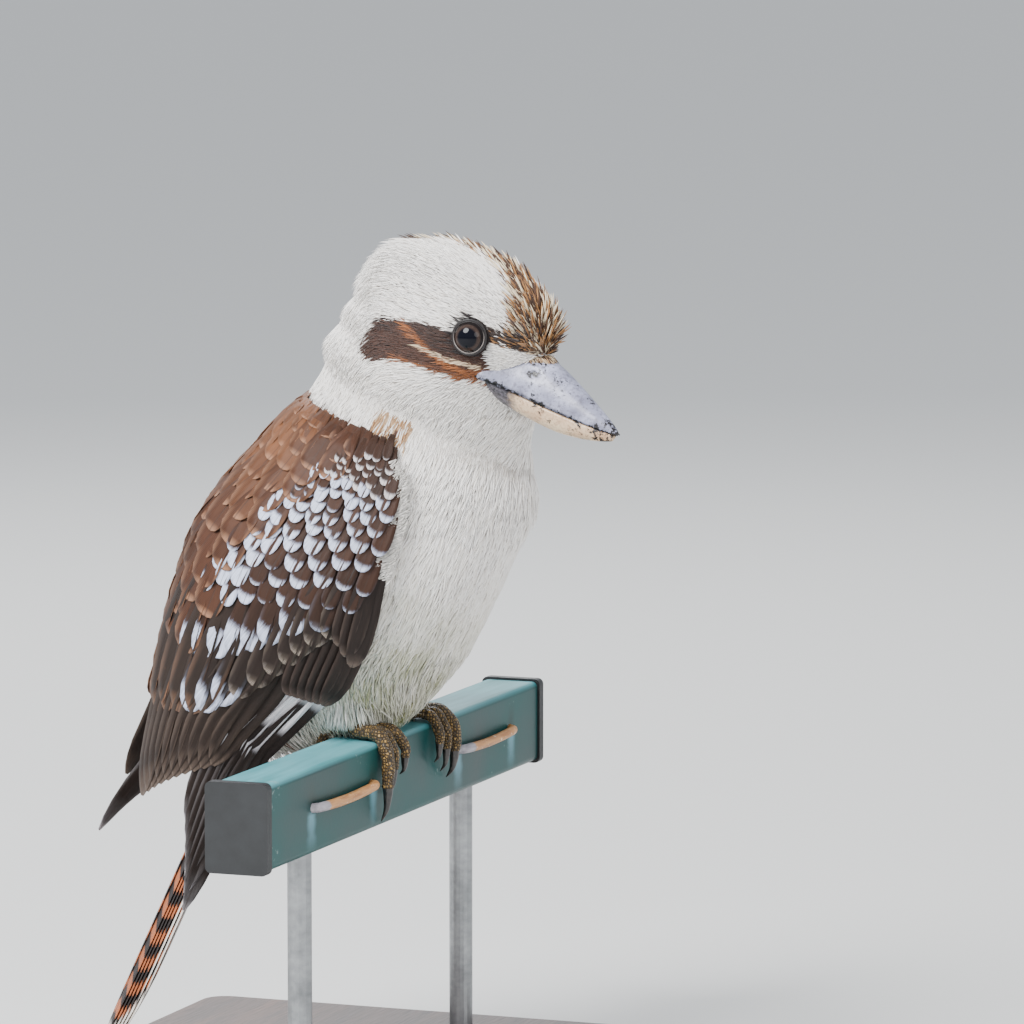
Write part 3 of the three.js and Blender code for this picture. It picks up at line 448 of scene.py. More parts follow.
CLEAN_WHITE = tone(247, 244, 241)
CREAM = tone(222, 205, 176)
EAR_BROWN = tone(72, 44, 32)
EAR_DARK = tone(36, 23, 20)
RUFOUS = tone(158, 94, 48)
CROWN_BROWN = tone(92, 60, 38)
CROWN_DARK = tone(46, 30, 22)
CROWN_GOLD = tone(168, 120, 70)
BELLY_GREEN = tone(138, 140, 82)
BELLY_SHADE = tone(206, 206, 196)
MANTLE_BROWN = tone(104, 70, 54)
EYE_SURROUND = tone(34, 25, 25)
SHOULDER_GOLD = tone(158, 112, 66)
QUILL_BROWN = tone(34, 24, 20)
QUILL_GREY = tone(40, 30, 25)
COVERT_BROWN = tone(50, 32, 23)
SCAPULAR_BROWN = tone(70, 43, 29)
SUNLIT_BROWN = tone(118, 76, 48)
BUFF_FRINGE = tone(168, 126, 98)
SKY_WHITE = tone(206, 216, 240)
PATCH_WHITE = tone(246, 245, 250)
TAIL_RUFOUS = tone(168, 96, 58)
TAIL_BLACK = tone(34, 26, 25)

# Lines of the head's markings: places ahead, and the height or width at each
EAR_TOP = (-14, -2, 14, 25, 31, 44), (3, 10.5, 9, 7.2, 5.6, 2)
EAR_BOTTOM = (-14, -10, 6, 17, 25, 30.5, 35.6, 41), (-1, -6.5, -6.8, -9, -11.2, -13.2, -15, -16.4)
EAR_DARK_FLOOR = (-12, 14, 30), (6, 5, -4)
RUST_LINE = (8, 13.6, 20.5, 26, 34), (8.5, 5.8, -0.5, -6.6, -11.5)
PALE_LINE = (16, 24.8, 36.7), (0.5, -4.3, -8.6)
LORE_LINE = (42, 52), (5, 0.5)
CROWN_FLOOR = (30, 44, 56), (12, 2, -5)
STREAK_FLOOR = (30, 44, 56), (14, 5, -3)
CROWN_REACH = (-30, -20, 0, 15, 25, 34, 42, 46, 50, 60), (0, 2.5, 5.5, 7, 7.5, 8.5, 10, 13.5, 18, 21)
CROWN_MIDDLE = (-20, 0, 15, 25, 34, 42, 50), (4, 6, 8, 8.5, 7, 3.5, 0.5)


def crown_side(u, b):
    """How far a place is from the middle of the streaked crown, which leans to the far side."""
    return np.abs(b - np.interp(u, *CROWN_MIDDLE))


def ear_colour(u, w, bottom, chance):
    """Dark band from the eye back over the ear, with rust and a pale streak in it."""
    roll, tint = chance[:, 0], chance[:, 1]
    brown = mix(EAR_BROWN, EAR_DARK, (0.25 + 0.75 * (w > np.interp(u, *EAR_DARK_FLOOR))) * roll)
    rust = np.clip(1 - np.abs(w - np.interp(u, *RUST_LINE)) / 2.6, 0, 1) * (u > 11)
    rust = np.maximum(rust, 0.8 * np.clip(1 - (w - bottom) / 2.4, 0, 1) * (u > 4))
    brown = mix(brown, RUFOUS, np.clip(rust * (0.5 + roll), 0, 1))
    pale = (np.abs(w - np.interp(u, *PALE_LINE)) < 0.9) & (u > 17) & (u < 39) & (roll < 0.8)
    return over(brown, pale, mix(CREAM, RUFOUS, 0.35 * tint))


def plumage(points, chance):
    """The bird's colour at each point, with chances from 0 to 1 for each tuft."""
    u, b, w = in_head(points)
    p, q, side = on_body(points)
    roll, tint, edge, fleck = chance[:, :4].T
    head = w > -26
    colour = mix(np.tile(CLEAN_WHITE, (len(points), 1)), CREAM, 0.22 * tint**2)

    # Belly and thighs, shaded and stained in patches
    low = smoothstep(p, 60, 130) * smoothstep(-q, -5, 25)
    colour = mix(colour, BELLY_SHADE, 0.5 * low)
    patchy = 0.7 + 0.3 * np.sin(0.19 * p + 0.16 * side) * np.sin(0.11 * p - 0.21 * side + 1)
    stain = smoothstep(p, 34, 104) * smoothstep(-q, 4, 40) * patchy * (0.35 + 0.65 * fleck)
    colour = mix(colour, BELLY_GREEN, stain)

    # Band over the ear
    bottom = np.interp(u, *EAR_BOTTOM)
    soft = (edge - 0.5) * 1.6
    ear = head & (w < np.interp(u, *EAR_TOP) + soft) & (w > bottom + soft)
    ear = ear & (u > -13.5 + 3 * fleck) & (u < 41) & (np.abs(b) > 12)
    colour = over(colour, ear, ear_colour(u, w, bottom, chance))

    # Streaked crown, from the bill over the top of the head
    reach = np.interp(u, *CROWN_REACH) + (edge - 0.5) * 5
    crown = head & (w > np.interp(u, *CROWN_FLOOR)) & (crown_side(u, b) < reach) & (u > -24)
    middle = 1 - crown_side(u, b) / np.maximum(reach, 1)
    streak = over(CREAM, roll < 0.30 + 0.26 * middle, mix(CROWN_BROWN, CROWN_DARK, tint))
    streak = over(streak, (roll > 0.70) & (u > 10), mix(CROWN_GOLD, CROWN_BROWN, 0.6 * fleck))
    colour = over(colour, crown, streak)

    # Brown lores between the eye and the bill, with a white spot under them
    lores = head & (u > 41) & (u < 54) & (np.abs(w - np.interp(u, *LORE_LINE)) < 3.2) & (np.abs(b) > 8)
    colour = over(colour, lores & (roll < 0.85), mix(CROWN_DARK, CROWN_GOLD, (roll > 0.62) * 0.8))

    # Bare dark rim round the eye
    for mark in (-1, 1):
        apart = np.linalg.norm(points - eye_centre(mark), axis=1)
        colour = over(colour, apart < 8.0 + tint * 0.5, EYE_SURROUND)

    # Gold at the bend of the wing
    bend = (p > -1) & (p < 9) & (np.abs(side) > 24) & (np.abs(q - 1) < 8) & (w < -28)
    colour = over(colour, bend & (roll < 0.75), mix(SHOULDER_GOLD, CREAM, 0.5 * tint))

    # Brown of the back, where the mantle begins under the nape
    return over(colour, bare_back(points) & (q > -30), mix(MANTLE_BROWN, CROWN_DARK, 0.3 * roll))


# One skin under the feathers

SKIN_VOXEL = 1.7
SKIN_DEPTH = 1.5
HEAD_DEPTH = 1.9
BED_DEPTH = 9
THROAT = (-46, -12)
ANKLES = {-1: np.array([-5, -26, 7.5]), 1: np.array([-5, 29, 7.5])}
# Each swell or hollow of the skin: how far it goes, its middle ahead and up, and its size both ways
NAPE_FORMS = ((-3.2, -25, 12, 30, 7), (1.4, -29, 10, 14, 6))
BREAST_FRONT, BREAST_SWELL, BREAST_SIZE = np.array([60, -4, 99.0]), 4.2, 17


def wing_bed(p):
    """A ring of points round both wings' beds, outside and in."""
    turns = np.linspace(np.interp(p, FRONT_PLACES, FRONT_TURNS) + 5, 90, 14)
    top = -1.6 - 3.6 * (1 - smoothstep(p, 13, 36)) - 2.4 * smoothstep(p, 78, 112)
    outer = [shell_point(-1, 0, p, t, top) for t in turns]
    outer += [shell_point(1, 0, p, t, top) for t in turns[::-1]]
    inner = [shell_point(1, 0, p, t, -BED_DEPTH) for t in turns[:-1]]
    inner += [shell_point(-1, 0, p, t, -BED_DEPTH) for t in turns[-2::-1]]
    return np.array(outer + inner)


def tail_root_ring(along):
    up, down, half = station_row(TAIL_FLESH, along)
    angle = np.linspace(0, 2 * np.pi, 24, endpoint=False)
    q = (np.where(np.cos(angle) > 0, up, down) - SKIN_DEPTH) * np.cos(angle)
    return on_axis(TAIL_PLACE + along, q, (half - SKIN_DEPTH) * np.sin(angle))


def leg_line(side):
    ankle = perch_to_bird(ANKLES[side])
    top = ankle + (-7, 0, 0)
    top[1] *= 0.82
    top[2] = 32
    return np.array([top, (top + ankle) / 2 + (2, 0, 0), ankle + (0, 0, -1)])


def smooth(bm, verts, times):
    for _ in range(times):
        bmesh.ops.smooth_vert(bm, verts=verts, factor=0.5, use_axis_x=True, use_axis_y=True, use_axis_z=True)


def make_skin():
    bm = bmesh.new()
    loft(bm, [to_row(torso_ring(p, -SKIN_DEPTH, 40)) for p in np.linspace(0, 150, 22)])
    head = [station_row(HEAD_RINGS, place) for place in np.linspace(0, 8, 26)]
    loft(bm, [to_row(body_ring(row, -HEAD_DEPTH, 48)) for row in head])
    loft(bm, [to_row(wing_bed(p)) for p in np.linspace(13, 150, 18)])
    loft(bm, [to_row(tail_root_ring(along)) for along in np.linspace(-8, 34, 9)])
    for side in (-1, 1):
        radii = np.interp(np.linspace(0, 3, 9), range(4), (13, 12, 9, 5))
        loft(bm, [to_row(ring) for ring in tube_rings(curve_through(leg_line(side), 9), radii, 20)])
    bmesh.ops.recalc_face_normals(bm, faces=bm.faces)
    draft = new_object("skin_draft", mesh_from(bm, "skin_draft"))
    remesh = draft.modifiers.new("one skin", "REMESH")
    remesh.mode = "VOXEL"
    remesh.voxel_size = SKIN_VOXEL * MM
    graph = bpy.context.evaluated_depsgraph_get()
    whole = bpy.data.meshes.new_from_object(draft.evaluated_get(graph))
    bpy.data.objects.remove(draft)
    bm = bmesh.new()
    bm.from_mesh(whole)
    bpy.data.meshes.remove(whole)
    smooth(bm, bm.verts, 5)
    # The throat and nape run smoothly into the body
    _, _, w = in_head(to_bird(places_of(bm.verts)))
    smooth(bm, [v for v, height in zip(bm.verts, w) if THROAT[0] < height < THROAT[1]], 26)
    shape_skin(bm)
    return bm


def shape_skin(bm):
    """Lifts the brow and cheek a little, sinks the rim of each eye, and shapes the nape and breast."""
    bm.normal_update()
    points = to_bird(places_of(bm.verts))
    normals = np.array([v.normal[:] for v in bm.verts]) @ TURN

    def swell(middle, size):
        return np.exp(-(np.linalg.norm(points - middle, axis=1) / size) ** 2)

    move = BREAST_SWELL * swell(BREAST_FRONT, BREAST_SIZE)
    for side in (-1, 1):
        centre = eye_centre(side)
        apart = np.linalg.norm(points - centre, axis=1)
        move -= 0.5 * np.exp(-((apart - 7.5) / 2.6) ** 2)
        move += 1.6 * swell(centre + UP * 9 - HEAD_AHEAD * 1, 6)
        move += 1.2 * swell(centre - UP * 15 - HEAD_AHEAD * 10, 9)
    u, _, w = in_head(points)
    for far, ahead, length, up, height in NAPE_FORMS:
        move += far * np.exp(-((u - ahead) / length) ** 2 - ((w - up) / height) ** 2)
    move_to(bm.verts, to_row(points + normals * move[:, None]))


def skin_map(points):
    """The skin laid flat: the head as seen down the bill's line, the body unrolled under it."""
    p, q, side = on_body(points)
    away = unit(points - BILL_FOCUS)
    ahead = np.arccos(np.clip(-(away @ HEAD_AHEAD), -1, 1)) / np.pi
    around = np.arctan2(away @ HEAD_LEFT, away[..., 2])
    reach = 0.23 * (0.06 + 0.42 * ahead) / 0.48
    head = np.stack([0.25 + reach * np.sin(around), 0.75 + reach * np.cos(around)], -1)
    roll = np.arctan2(side, -q) / (2 * np.pi) + 0.5
    body = np.stack([0.51 + 0.46 * roll, np.clip(0.96 - p / 190, 0.02, 0.97)], -1)
    return np.where((points[..., 2] > 142)[..., None], head, body)


# Materials

class Finish:
    """The nodes of one material or one group, with short names for the common ones."""

    def __init__(self, tree):
        self.nodes, self.links = tree.nodes, tree.links

    def feed(self, socket, value):
        if hasattr(value, "links"):
            self.links.new(value, socket)
        elif socket.type == "RGBA":
            socket.default_value = (*value, 1)
        else:
            socket.default_value = value

    def add(self, kind, inputs, **settings):
        made = self.nodes.new("ShaderNode" + kind)
        for key, value in settings.items():
            setattr(made, key, value)
        for key, value in inputs.items():
            self.feed(made.inputs[key], value)
        return made.outputs

    def math(self, operation, *values, clamp=False):
        return self.add("Math", dict(enumerate(values)), operation=operation, use_clamp=clamp)[0]

    def plus(self, a, b):
        return self.math("ADD", a, b)

    def minus(self, a, b):
        return self.math("SUBTRACT", a, b)

    def times(self, a, b):
        return self.math("MULTIPLY", a, b)

    def scaled(self, value, factor, offset):
        return self.math("MULTIPLY_ADD", value, factor, offset)

    def most(self, a, b, clamp=False):
        return self.math("MAXIMUM", a, b, clamp=clamp)

    def apart(self, a, b):
        return self.math("ABSOLUTE", self.minus(a, b))

    def ramp(self, value, low, high):
        return self.add("MapRange", {0: value, 1: low, 2: high})[0]

    def blend(self, share, a, b, mode="MIX"):
        return self.add("Mix", {0: share, 6: a, 7: b}, data_type="RGBA", blend_type=mode)[2]

    def tint(self, a, b):
        return self.blend(1.0, a, b, "MULTIPLY")

    def noise(self, place, scale, detail=3, rough=0.5):
        inputs = {"Vector": place, "Scale": scale, "Detail": detail, "Roughness": rough}
        return self.add("TexNoise", inputs)["Fac"]

    def place(self):
        return self.add("TexCoord", {})["Object"]

    def stretched(self, place, scale):
        return self.add("Mapping", {0: place, "Scale": scale})[0]

    def axes(self, vector):
        return self.add("SeparateXYZ", {0: vector})

    def own(self, layer):
        return self.add("Attribute", {}, attribute_name=layer)

    def parts(self, colour):
        return self.add("SeparateColor", {0: colour})

    def group(self, tree, **inputs):
        return self.add("Group", inputs, node_tree=tree)

    def bump(self, height, strength, distance):
        made = self.add("Bump", {"Height": height, "Strength": strength, "Distance": distance})
        self.shade({"Normal": made[0]})

    def shade(self, values):
        for name, value in values.items():
            self.feed(self.nodes["Principled BSDF"].inputs[name], value)


def new_material(name):
    material = bpy.data.materials.new(name)
    material.use_nodes = True
    return material, Finish(material.node_tree)


def new_group(name, inputs, outputs):
    """A shared effect, which takes numbers and puts numbers out."""
    tree = bpy.data.node_groups.new(name, "ShaderNodeTree")
    for way, sockets in (("INPUT", inputs), ("OUTPUT", outputs)):
        for socket in sockets:
            tree.interface.new_socket(socket, in_out=way, socket_type="NodeSocketFloat")
    given = tree.nodes.new("NodeGroupInput").outputs
    put = tree.nodes.new("NodeGroupOutput").inputs
    return tree, Finish(tree), given, put


def barb_group():
    """Fine barbs running out and forward from the shaft of a feather, and the shaft itself."""
    tree, f, given, put = new_group(
        "Feather barbs", ("Count", "Slant"), ("Height", "Shade", "Shaft", "Across", "Along"),
    )
    vane = f.axes(f.add("UVMap", {}, uv_map="Vane")[0])
    across = f.math("ABSOLUTE", f.scaled(vane[0], 2.0, -1))
    slanted = f.minus(vane[1], f.times(across, given["Slant"]))
    phase = f.times(slanted, given["Count"])
    wave = f.math("SINE", f.times(phase, 2 * math.pi))
    joined = f.add("CombineXYZ", {0: f.times(phase, 0.37), 1: across})[0]
    shade = f.scaled(wave, 0.22, f.noise(joined, 2.2, 2))
    shaft = f.math("LESS_THAN", across, 0.045)
    for name, value in (("Height", f.scaled(shaft, 1.2, shade)), ("Shade", shade), ("Shaft", shaft),
                        ("Across", across), ("Along", vane[1])):
        f.feed(put[name], value)
    return tree


def wear_group():
    """Scratches, dust and paler wear, for the paint and the plastic."""
    tree, f, given, put = new_group("Surface wear", ("Scale",), ("Blotch", "Grain", "Scratch"))
    for name, factor, detail, stretch in (
        ("Blotch", 22, 4, (1, 1, 1)), ("Grain", 600, 3, (1, 1, 1)), ("Scratch", 150, 5, (1, 0.08, 1)),
    ):
        f.feed(put[name], f.noise(f.stretched(f.place(), stretch), f.times(given[0], factor), detail))
    return tree


BARBS = barb_group()
WEAR = wear_group()


def coat_material():
    """Small body feathers, each coloured by its own place, with painted shade that darkens each towards its
    root and leaves it paler at the tip.
    """
    material, f = new_material("body_feather")
    barbs = f.group(BARBS, Count=9, Slant=0.3)
    # Painted shade: each tuft is darker towards its root, where others lie over it
    shaded = f.blend(f.ramp(barbs["Along"], 0, 0.55), tone(214, 211, 208), (1.0, 1.0, 1.0))
    f.shade({
        "Base Color": f.tint(f.own("Plumage")["Color"], shaded),
        "Roughness": f.scaled(barbs["Shade"], 0.15, 0.55),
        "Specular IOR Level": 0.3,
        "Sheen Weight": 0.15,
    })
    f.bump(barbs["Height"], 0.25, 0.0002)
    return material


def skin_material():
    """Down between the feathers, in the same colours and a little darker."""
    material, f = new_material("down_under_feathers")
    fine = f.noise(f.place(), 900, 3)
    shaded = f.blend(fine, (0.8, 0.79, 0.78), (1.0, 0.99, 0.98))
    f.shade({"Base Color": f.tint(f.own("Plumage")["Color"], shaded), "Roughness": 0.85})
    f.bump(fine, 0.6, 0.0006)
    return material


def vane_material(name, count, sheen, ragged, slant):
    """Wing feathers: ground, pale tip, fringe and patch kept for each feather."""
    material, f = new_material(name)
    marks = f.own("Marks")
    tip_size, fringed, patch_start = f.parts(marks["Color"])
    barbs = f.group(BARBS, Count=count, Slant=slant)
    across, along, shade = barbs["Across"], barbs["Along"], barbs["Shade"]
    wobble = f.times(f.minus(shade, 0.5), ragged)
    from_end = f.plus(f.minus(1.0, along), wobble)
    rounded = f.minus(from_end, f.times(f.math("POWER", across, 2.0), 0.05))
    tip = f.ramp(f.minus(tip_size, rounded), -0.02, 0.03)
    edge = f.most(f.ramp(across, 0.72, 0.95), f.ramp(along, 0.88, 0.98))
    fringe = f.times(f.times(edge, f.ramp(along, 0.5, 0.9)), fringed)
    place = f.plus(along, wobble)
    started = f.ramp(f.minus(place, patch_start), -0.01, 0.02)
    ending = f.ramp(f.minus(marks["Alpha"], place), -0.01, 0.02)
    pale = f.most(f.most(tip, f.times(started, ending)), fringe, clamp=True)
    lights = f.blend(f.ramp(shade, -0.1, 1.1), (0.62, 0.6, 0.6), (1.25, 1.22, 1.2))
    varied = f.blend(f.noise(f.place(), 120, 4), (0.8, 0.8, 0.8), (1.2, 1.18, 1.15))
    streaked = f.blend(f.ramp(shade, 0.2, 0.5), (0.5, 0.52, 0.6), (1.0, 1.0, 1.0))
    base = f.blend(pale, f.own("Ground")["Color"], f.tint(f.own("Tip")["Color"], streaked))
    base = f.tint(f.tint(base, lights), varied)
    f.shade({
        "Base Color": f.blend(f.times(barbs["Shaft"], 0.5), base, tone(52, 40, 36)),
        "Roughness": f.scaled(shade, 0.25, 0.38),
        "Sheen Weight": sheen,
        "Specular IOR Level": 0.22,
    })
    f.bump(barbs["Height"], 0.5, 0.00025)
    return material


def tail_material():
    """Rust-coloured tail feathers with black bars and a white end and outer edge."""
    material, f = new_material("barred_tail_feather")
    tip_size, edged, _ = f.parts(f.own("Marks")["Color"])
    barbs = f.group(BARBS, Count=80, Slant=0.12)
    across, along, shade = barbs["Across"], barbs["Along"], barbs["Shade"]
    wander = f.scaled(shade, 0.018, f.minus(along, f.times(across, 0.03)))
    bar = f.ramp(f.math("SINE", f.times(wander, 72)), -0.05, 0.25)
    end = f.ramp(f.minus(wander, f.minus(1.0, tip_size)), -0.01, 0.02)
    edge = f.times(f.ramp(across, 0.75, 0.92), edged)
    base = f.blend(f.most(end, edge, clamp=True), f.blend(bar, TAIL_BLACK, TAIL_RUFOUS), tone(228, 222, 214))
    base = f.tint(base, f.blend(f.ramp(shade, -0.1, 1.1), (0.65, 0.65, 0.65), (1.2, 1.2, 1.2)))
    base = f.blend(f.times(barbs["Shaft"], 0.7), base, tone(60, 40, 32))
    f.shade({"Base Color": base, "Roughness": 0.5})
    f.bump(barbs["Height"], 0.5, 0.00025)
    return material


def bill_material(name, upper):
    """Horn, grey-blue above with a painted reflection of the sky that makes it paler, and cream below,
    flecked with black most at the tip, the ridge and the mouth.
    """
    material, f = new_material(name)
    place = f.place()
    along, dark_edge, nostril = f.parts(f.own("Bill")["Color"])
    fine = f.noise(place, 700, 5, 0.65)
    flecks = f.noise(place, 620, 6, 0.7)
    spots = f.noise(place, 210, 6, 0.68)
    if upper:
        # The upper half's pale grey-blue is partly the horn's own colour and partly painted reflection of the
        # sky; its lighter patches are painted highlight
        low, high, wear_and_glint, dark = tone(112, 112, 132), tone(172, 174, 198), tone(88, 84, 96), tone(22, 18, 20)
        tip_start, tip_share, edge_share = 0.9, 0.24, 0.22
    else:
        low, high, wear_and_glint, dark = tone(190, 152, 118), tone(226, 200, 166), tone(150, 108, 84), tone(30, 21, 21)
        tip_start, tip_share, edge_share = 0.66, 0.2, 0.08
    base = f.blend(f.ramp(f.noise(place, 90, 4), 0.35, 0.65), low, high)
    base = f.blend(f.ramp(fine, 0.48, 0.75), base, wear_and_glint)
    level = f.plus(f.times(f.ramp(along, tip_start, 1.0), tip_share), f.times(dark_edge, edge_share))
    level = f.plus(f.plus(level, spots), f.times(flecks, 0.6))
    mask = f.ramp(level, 0.94, 0.98)
    base = f.blend(mask, base, dark)
    # Painted shade: the nostril's opening is painted near black over a shallow dent
    base = f.blend(f.ramp(nostril, 0.3, 0.6), base, tone(14, 11, 12))
    if not upper:
        # Bare dark skin at the corner of the mouth
        corner = f.ramp(f.plus(along, f.times(spots, 0.16)), 0.46, 0.4)
        base = f.blend(corner, base, f.blend(f.ramp(flecks, 0.42, 0.6), tone(24, 24, 30), tone(104, 98, 108)))
    f.shade({
        "Base Color": base,
        "Roughness": f.scaled(fine, 0.35, 0.18),
        "Coat Weight": 0.15, "Coat Roughness": 0.3,
    })
    f.bump(f.plus(fine, f.times(mask, 0.6)), 0.35, 0.0003)
    return material


def eye_material():
    material, f = new_material("glass_eye")
    gaze, _, _ = f.parts(f.own("Gaze")["Color"])
    iris = f.blend(f.noise(f.place(), 1600, 4), tone(26, 18, 15), tone(72, 58, 52))
    base = f.blend(f.ramp(gaze, 0.60, 0.72), tone(4, 5, 14), iris)
    f.shade({
        "Base Color": f.blend(f.ramp(gaze, 0.82, 0.88), base, tone(20, 14, 14)),
        "Roughness": 0.05, "Specular IOR Level": 0.26, "IOR": 1.38,
        "Coat Weight": 0.05, "Coat Roughness": 0.02,
    })
    return material


def lid_material():
    material, f = new_material("eyelid_skin")
    grain = f.noise(f.place(), 1500, 4)
    dark = f.blend(grain, tone(9, 7, 8), tone(30, 23, 23))
    pale = f.blend(grain, tone(150, 138, 132), tone(206, 196, 190))
    f.shade({"Base Color": f.blend(f.own("Rim")["Fac"], dark, pale), "Roughness": 0.45})
    f.bump(grain, 0.5, 0.0003)
    return material


def scaly_material(name, pale, dark):
    """Foot skin in small raised scales, with painted golden highlights on some of them."""
    material, f = new_material(name)
    place = f.place()
    cell = {"Vector": place, "Scale": 760, "Randomness": 0.7}
    dome = f.ramp(f.add("TexVoronoi", cell, feature="DISTANCE_TO_EDGE")["Distance"], 0.02, 0.3)
    tint, _, _ = f.parts(f.add("TexVoronoi", cell)["Color"])
    grain = f.noise(place, 260, 3)
    # Painted highlight: scales picked at random turn golden, standing in for light glinting on them
    wear_and_glint = f.ramp(f.plus(tint, f.times(grain, 0.9)), 0.72, 1.35)
    scale = f.blend(wear_and_glint, mix(dark, pale, 0.35), pale)
    f.shade({"Base Color": f.blend(dome, dark, scale), "Roughness": f.scaled(grain, 0.3, 0.28)})
    f.bump(dome, 0.9, 0.0007)
    return material


def claw_material():
    material, f = new_material("claw_horn")
    grain = f.noise(f.place(), 500, 4)
    base = f.blend(f.ramp(grain, 0.4, 0.75), tone(18, 15, 14), tone(58, 48, 42))
    f.shade({"Base Color": base, "Roughness": 0.3, "Coat Weight": 0.3, "Coat Roughness": 0.2})
    f.bump(grain, 0.3, 0.0003)
    return material


CORD_RUNS = {"near": (-107, -41), "far": (55, 118)}
CORD_LEVEL, CORD_OUT, CORD_INSIDE, CORD_RADIUS = -16, 15.1, 8.5, 2.1
BAR_FACE = 12.5


def bar_material():
    """Green-blue paint on steel, made paler on top by a painted reflection of the sky, and stained over and
    under the cord holes.
    """
    material, f = new_material("weathered_bar_paint")
    blotch, grain, scratch = f.group(WEAR, Scale=1)
    x, y, z = f.axes(f.place())

    def height(value, low, high):
        return f.ramp(value, (BAR_TOP + low) * MM, (BAR_TOP + high) * MM)

    base = f.blend(f.ramp(blotch, 0.3, 0.7), tone(3, 48, 48), tone(10, 76, 74))
    # Painted reflection of the sky: the top face is a paler blue-green, broken up by the scratch pattern
    top_sky_reflection = f.blend(f.ramp(scratch, 0.35, 0.65), tone(58, 126, 130), tone(98, 162, 170))
    base = f.blend(height(z, -2.2, -0.4), base, top_sky_reflection)
    # How near a place on the front face is to a hole, along the bar
    near = None
    for end in [end for run in CORD_RUNS.values() for end in run]:
        one = f.ramp(f.plus(f.apart(y, end * MM), f.times(scratch, 0.006)), 0.0085, 0.0045)
        near = f.most(near, one) if near else one
    near = f.times(near, f.ramp(x, (PERCH_X + 11) * MM, (PERCH_X + 12) * MM))
    pale = f.times(f.times(near, height(z, -17, -19)), height(z, -34, -20))
    base = f.blend(f.times(pale, 0.55), base, tone(120, 178, 196))
    soot = f.times(f.times(near, height(z, -17, -14)), height(z, -4, -12))
    base = f.blend(f.times(soot, 0.6), base, tone(22, 44, 36))
    chips = f.ramp(f.plus(blotch, f.times(grain, 0.35)), 0.86, 0.9)
    f.shade({
        "Base Color": f.blend(f.times(chips, 0.5), base, tone(140, 160, 158)),
        "Roughness": f.scaled(blotch, 0.35, 0.25), "Specular IOR Level": 0.3, "Coat Weight": 0.08,
        "Coat Roughness": 0.35,
    })
    f.bump(f.plus(scratch, f.times(grain, 0.4)), 0.18, 0.0004)
    return material


def plain_material(name, low, high, rough, metal=0.0, scale=1.0, strength=0.25):
    material, f = new_material(name)
    blotch, grain, scratch = f.group(WEAR, Scale=scale)
    mixed = f.plus(f.times(blotch, 0.6), f.times(scratch, 0.4))
    f.shade({
        "Base Color": f.blend(f.ramp(mixed, 0.3, 0.7), low, high),
        "Roughness": f.scaled(grain, 0.2, rough), "Metallic": metal,
    })
    f.bump(f.plus(grain, scratch), strength, 0.0002)
    return material


def wood_material():
    material, f = new_material("dark_stained_wood")
    lengthways = f.stretched(f.place(), (1, 0.07, 1))
    grain = f.noise(lengthways, 130, 6, 0.6)
    pores = f.noise(lengthways, 900, 3, 0.6)
    base = f.blend(f.ramp(grain, 0.3, 0.7), tone(44, 28, 20), tone(88, 58, 40))
    f.shade({
        "Base Color": f.blend(f.ramp(pores, 0.55, 0.75), base, tone(28, 18, 14)),
        "Roughness": f.scaled(pores, 0.3, 0.25), "Coat Weight": 0.25, "Coat Roughness": 0.25,
    })
    f.bump(f.plus(grain, pores), 0.15, 0.0004)
    return material


def cord_material():
    """Plastic-covered cord, tan, creased across and scuffed pale, with a painted grey-white highlight at the
    near end where it bends into its hole.
    """
    material, f = new_material("tan_cord")
    place = f.place()
    streaks = f.noise(f.stretched(place, (1, 0.12, 1)), 700, 4)
    rings = f.noise(place, 420, 4)
    base = f.blend(f.ramp(streaks, 0.3, 0.7), tone(168, 112, 64), tone(212, 156, 98))
    base = f.blend(f.ramp(rings, 0.62, 0.72), base, tone(232, 206, 178))
    # Painted highlight: a pale grey band next to the first hole of each run
    end_highlight = f.blend(streaks, tone(92, 86, 92), tone(196, 190, 196))
    along = f.axes(place)[1]
    for start, _ in CORD_RUNS.values():
        ragged = f.plus(f.apart(along, (start + 2) * MM), f.times(rings, 0.003))
        base = f.blend(f.ramp(ragged, 0.0092, 0.0086), base, end_highlight)
    f.shade({"Base Color": base, "Roughness": 0.45})
    f.bump(f.plus(streaks, rings), 0.35, 0.0004)
    return material


# The coat of body feathers

FACE_FLOOR = -28
ROOT_CLEAR, FEATHER_CLEAR = 7.6, 7.7
TUFT_CAMBER = 0.3


def skin_arrays(mesh):
    mesh.calc_loop_triangles()

    def read(rows, field, kind):
        values = np.empty(len(rows) * 3, kind)
        rows.foreach_get(field, values)
        return values.reshape(-1, 3)

    points = to_bird(read(mesh.vertices, "co", float))
    normals = read(mesh.vertices, "normal", float) @ TURN
    return points, normals, read(mesh.loop_triangles, "vertices", np.int32)


def scatter_roots(arrays, spacing, keep, rng):
    """Roots about one spacing apart over the part of the skin that keep says."""
    points, normals, corners = arrays
    a, b, c = (points[corners[:, k]] for k in range(3))
    area = np.linalg.norm(np.cross(b - a, c - a), axis=1) / 2 * keep((a + b + c) / 3)
    total = int(area.sum() / spacing**2 * 2.6)
    pick = rng.choice(len(area), total, p=area / area.sum())
    r1, r2 = np.sqrt(rng.random((total, 1))), rng.random((total, 1))
    weights = np.concatenate([1 - r1, r1 * (1 - r2), r1 * r2], 1)
    roots = sum(weights[:, k : k + 1] * points[corners[pick, k]] for k in range(3))
    outs = unit(sum(weights[:, k : k + 1] * normals[corners[pick, k]] for k in range(3)))
    cells = np.floor(roots / spacing).astype(np.int64)
    _, first = np.unique(cells, axis=0, return_index=True)
    first = np.sort(first)
    return roots[first], outs[first]


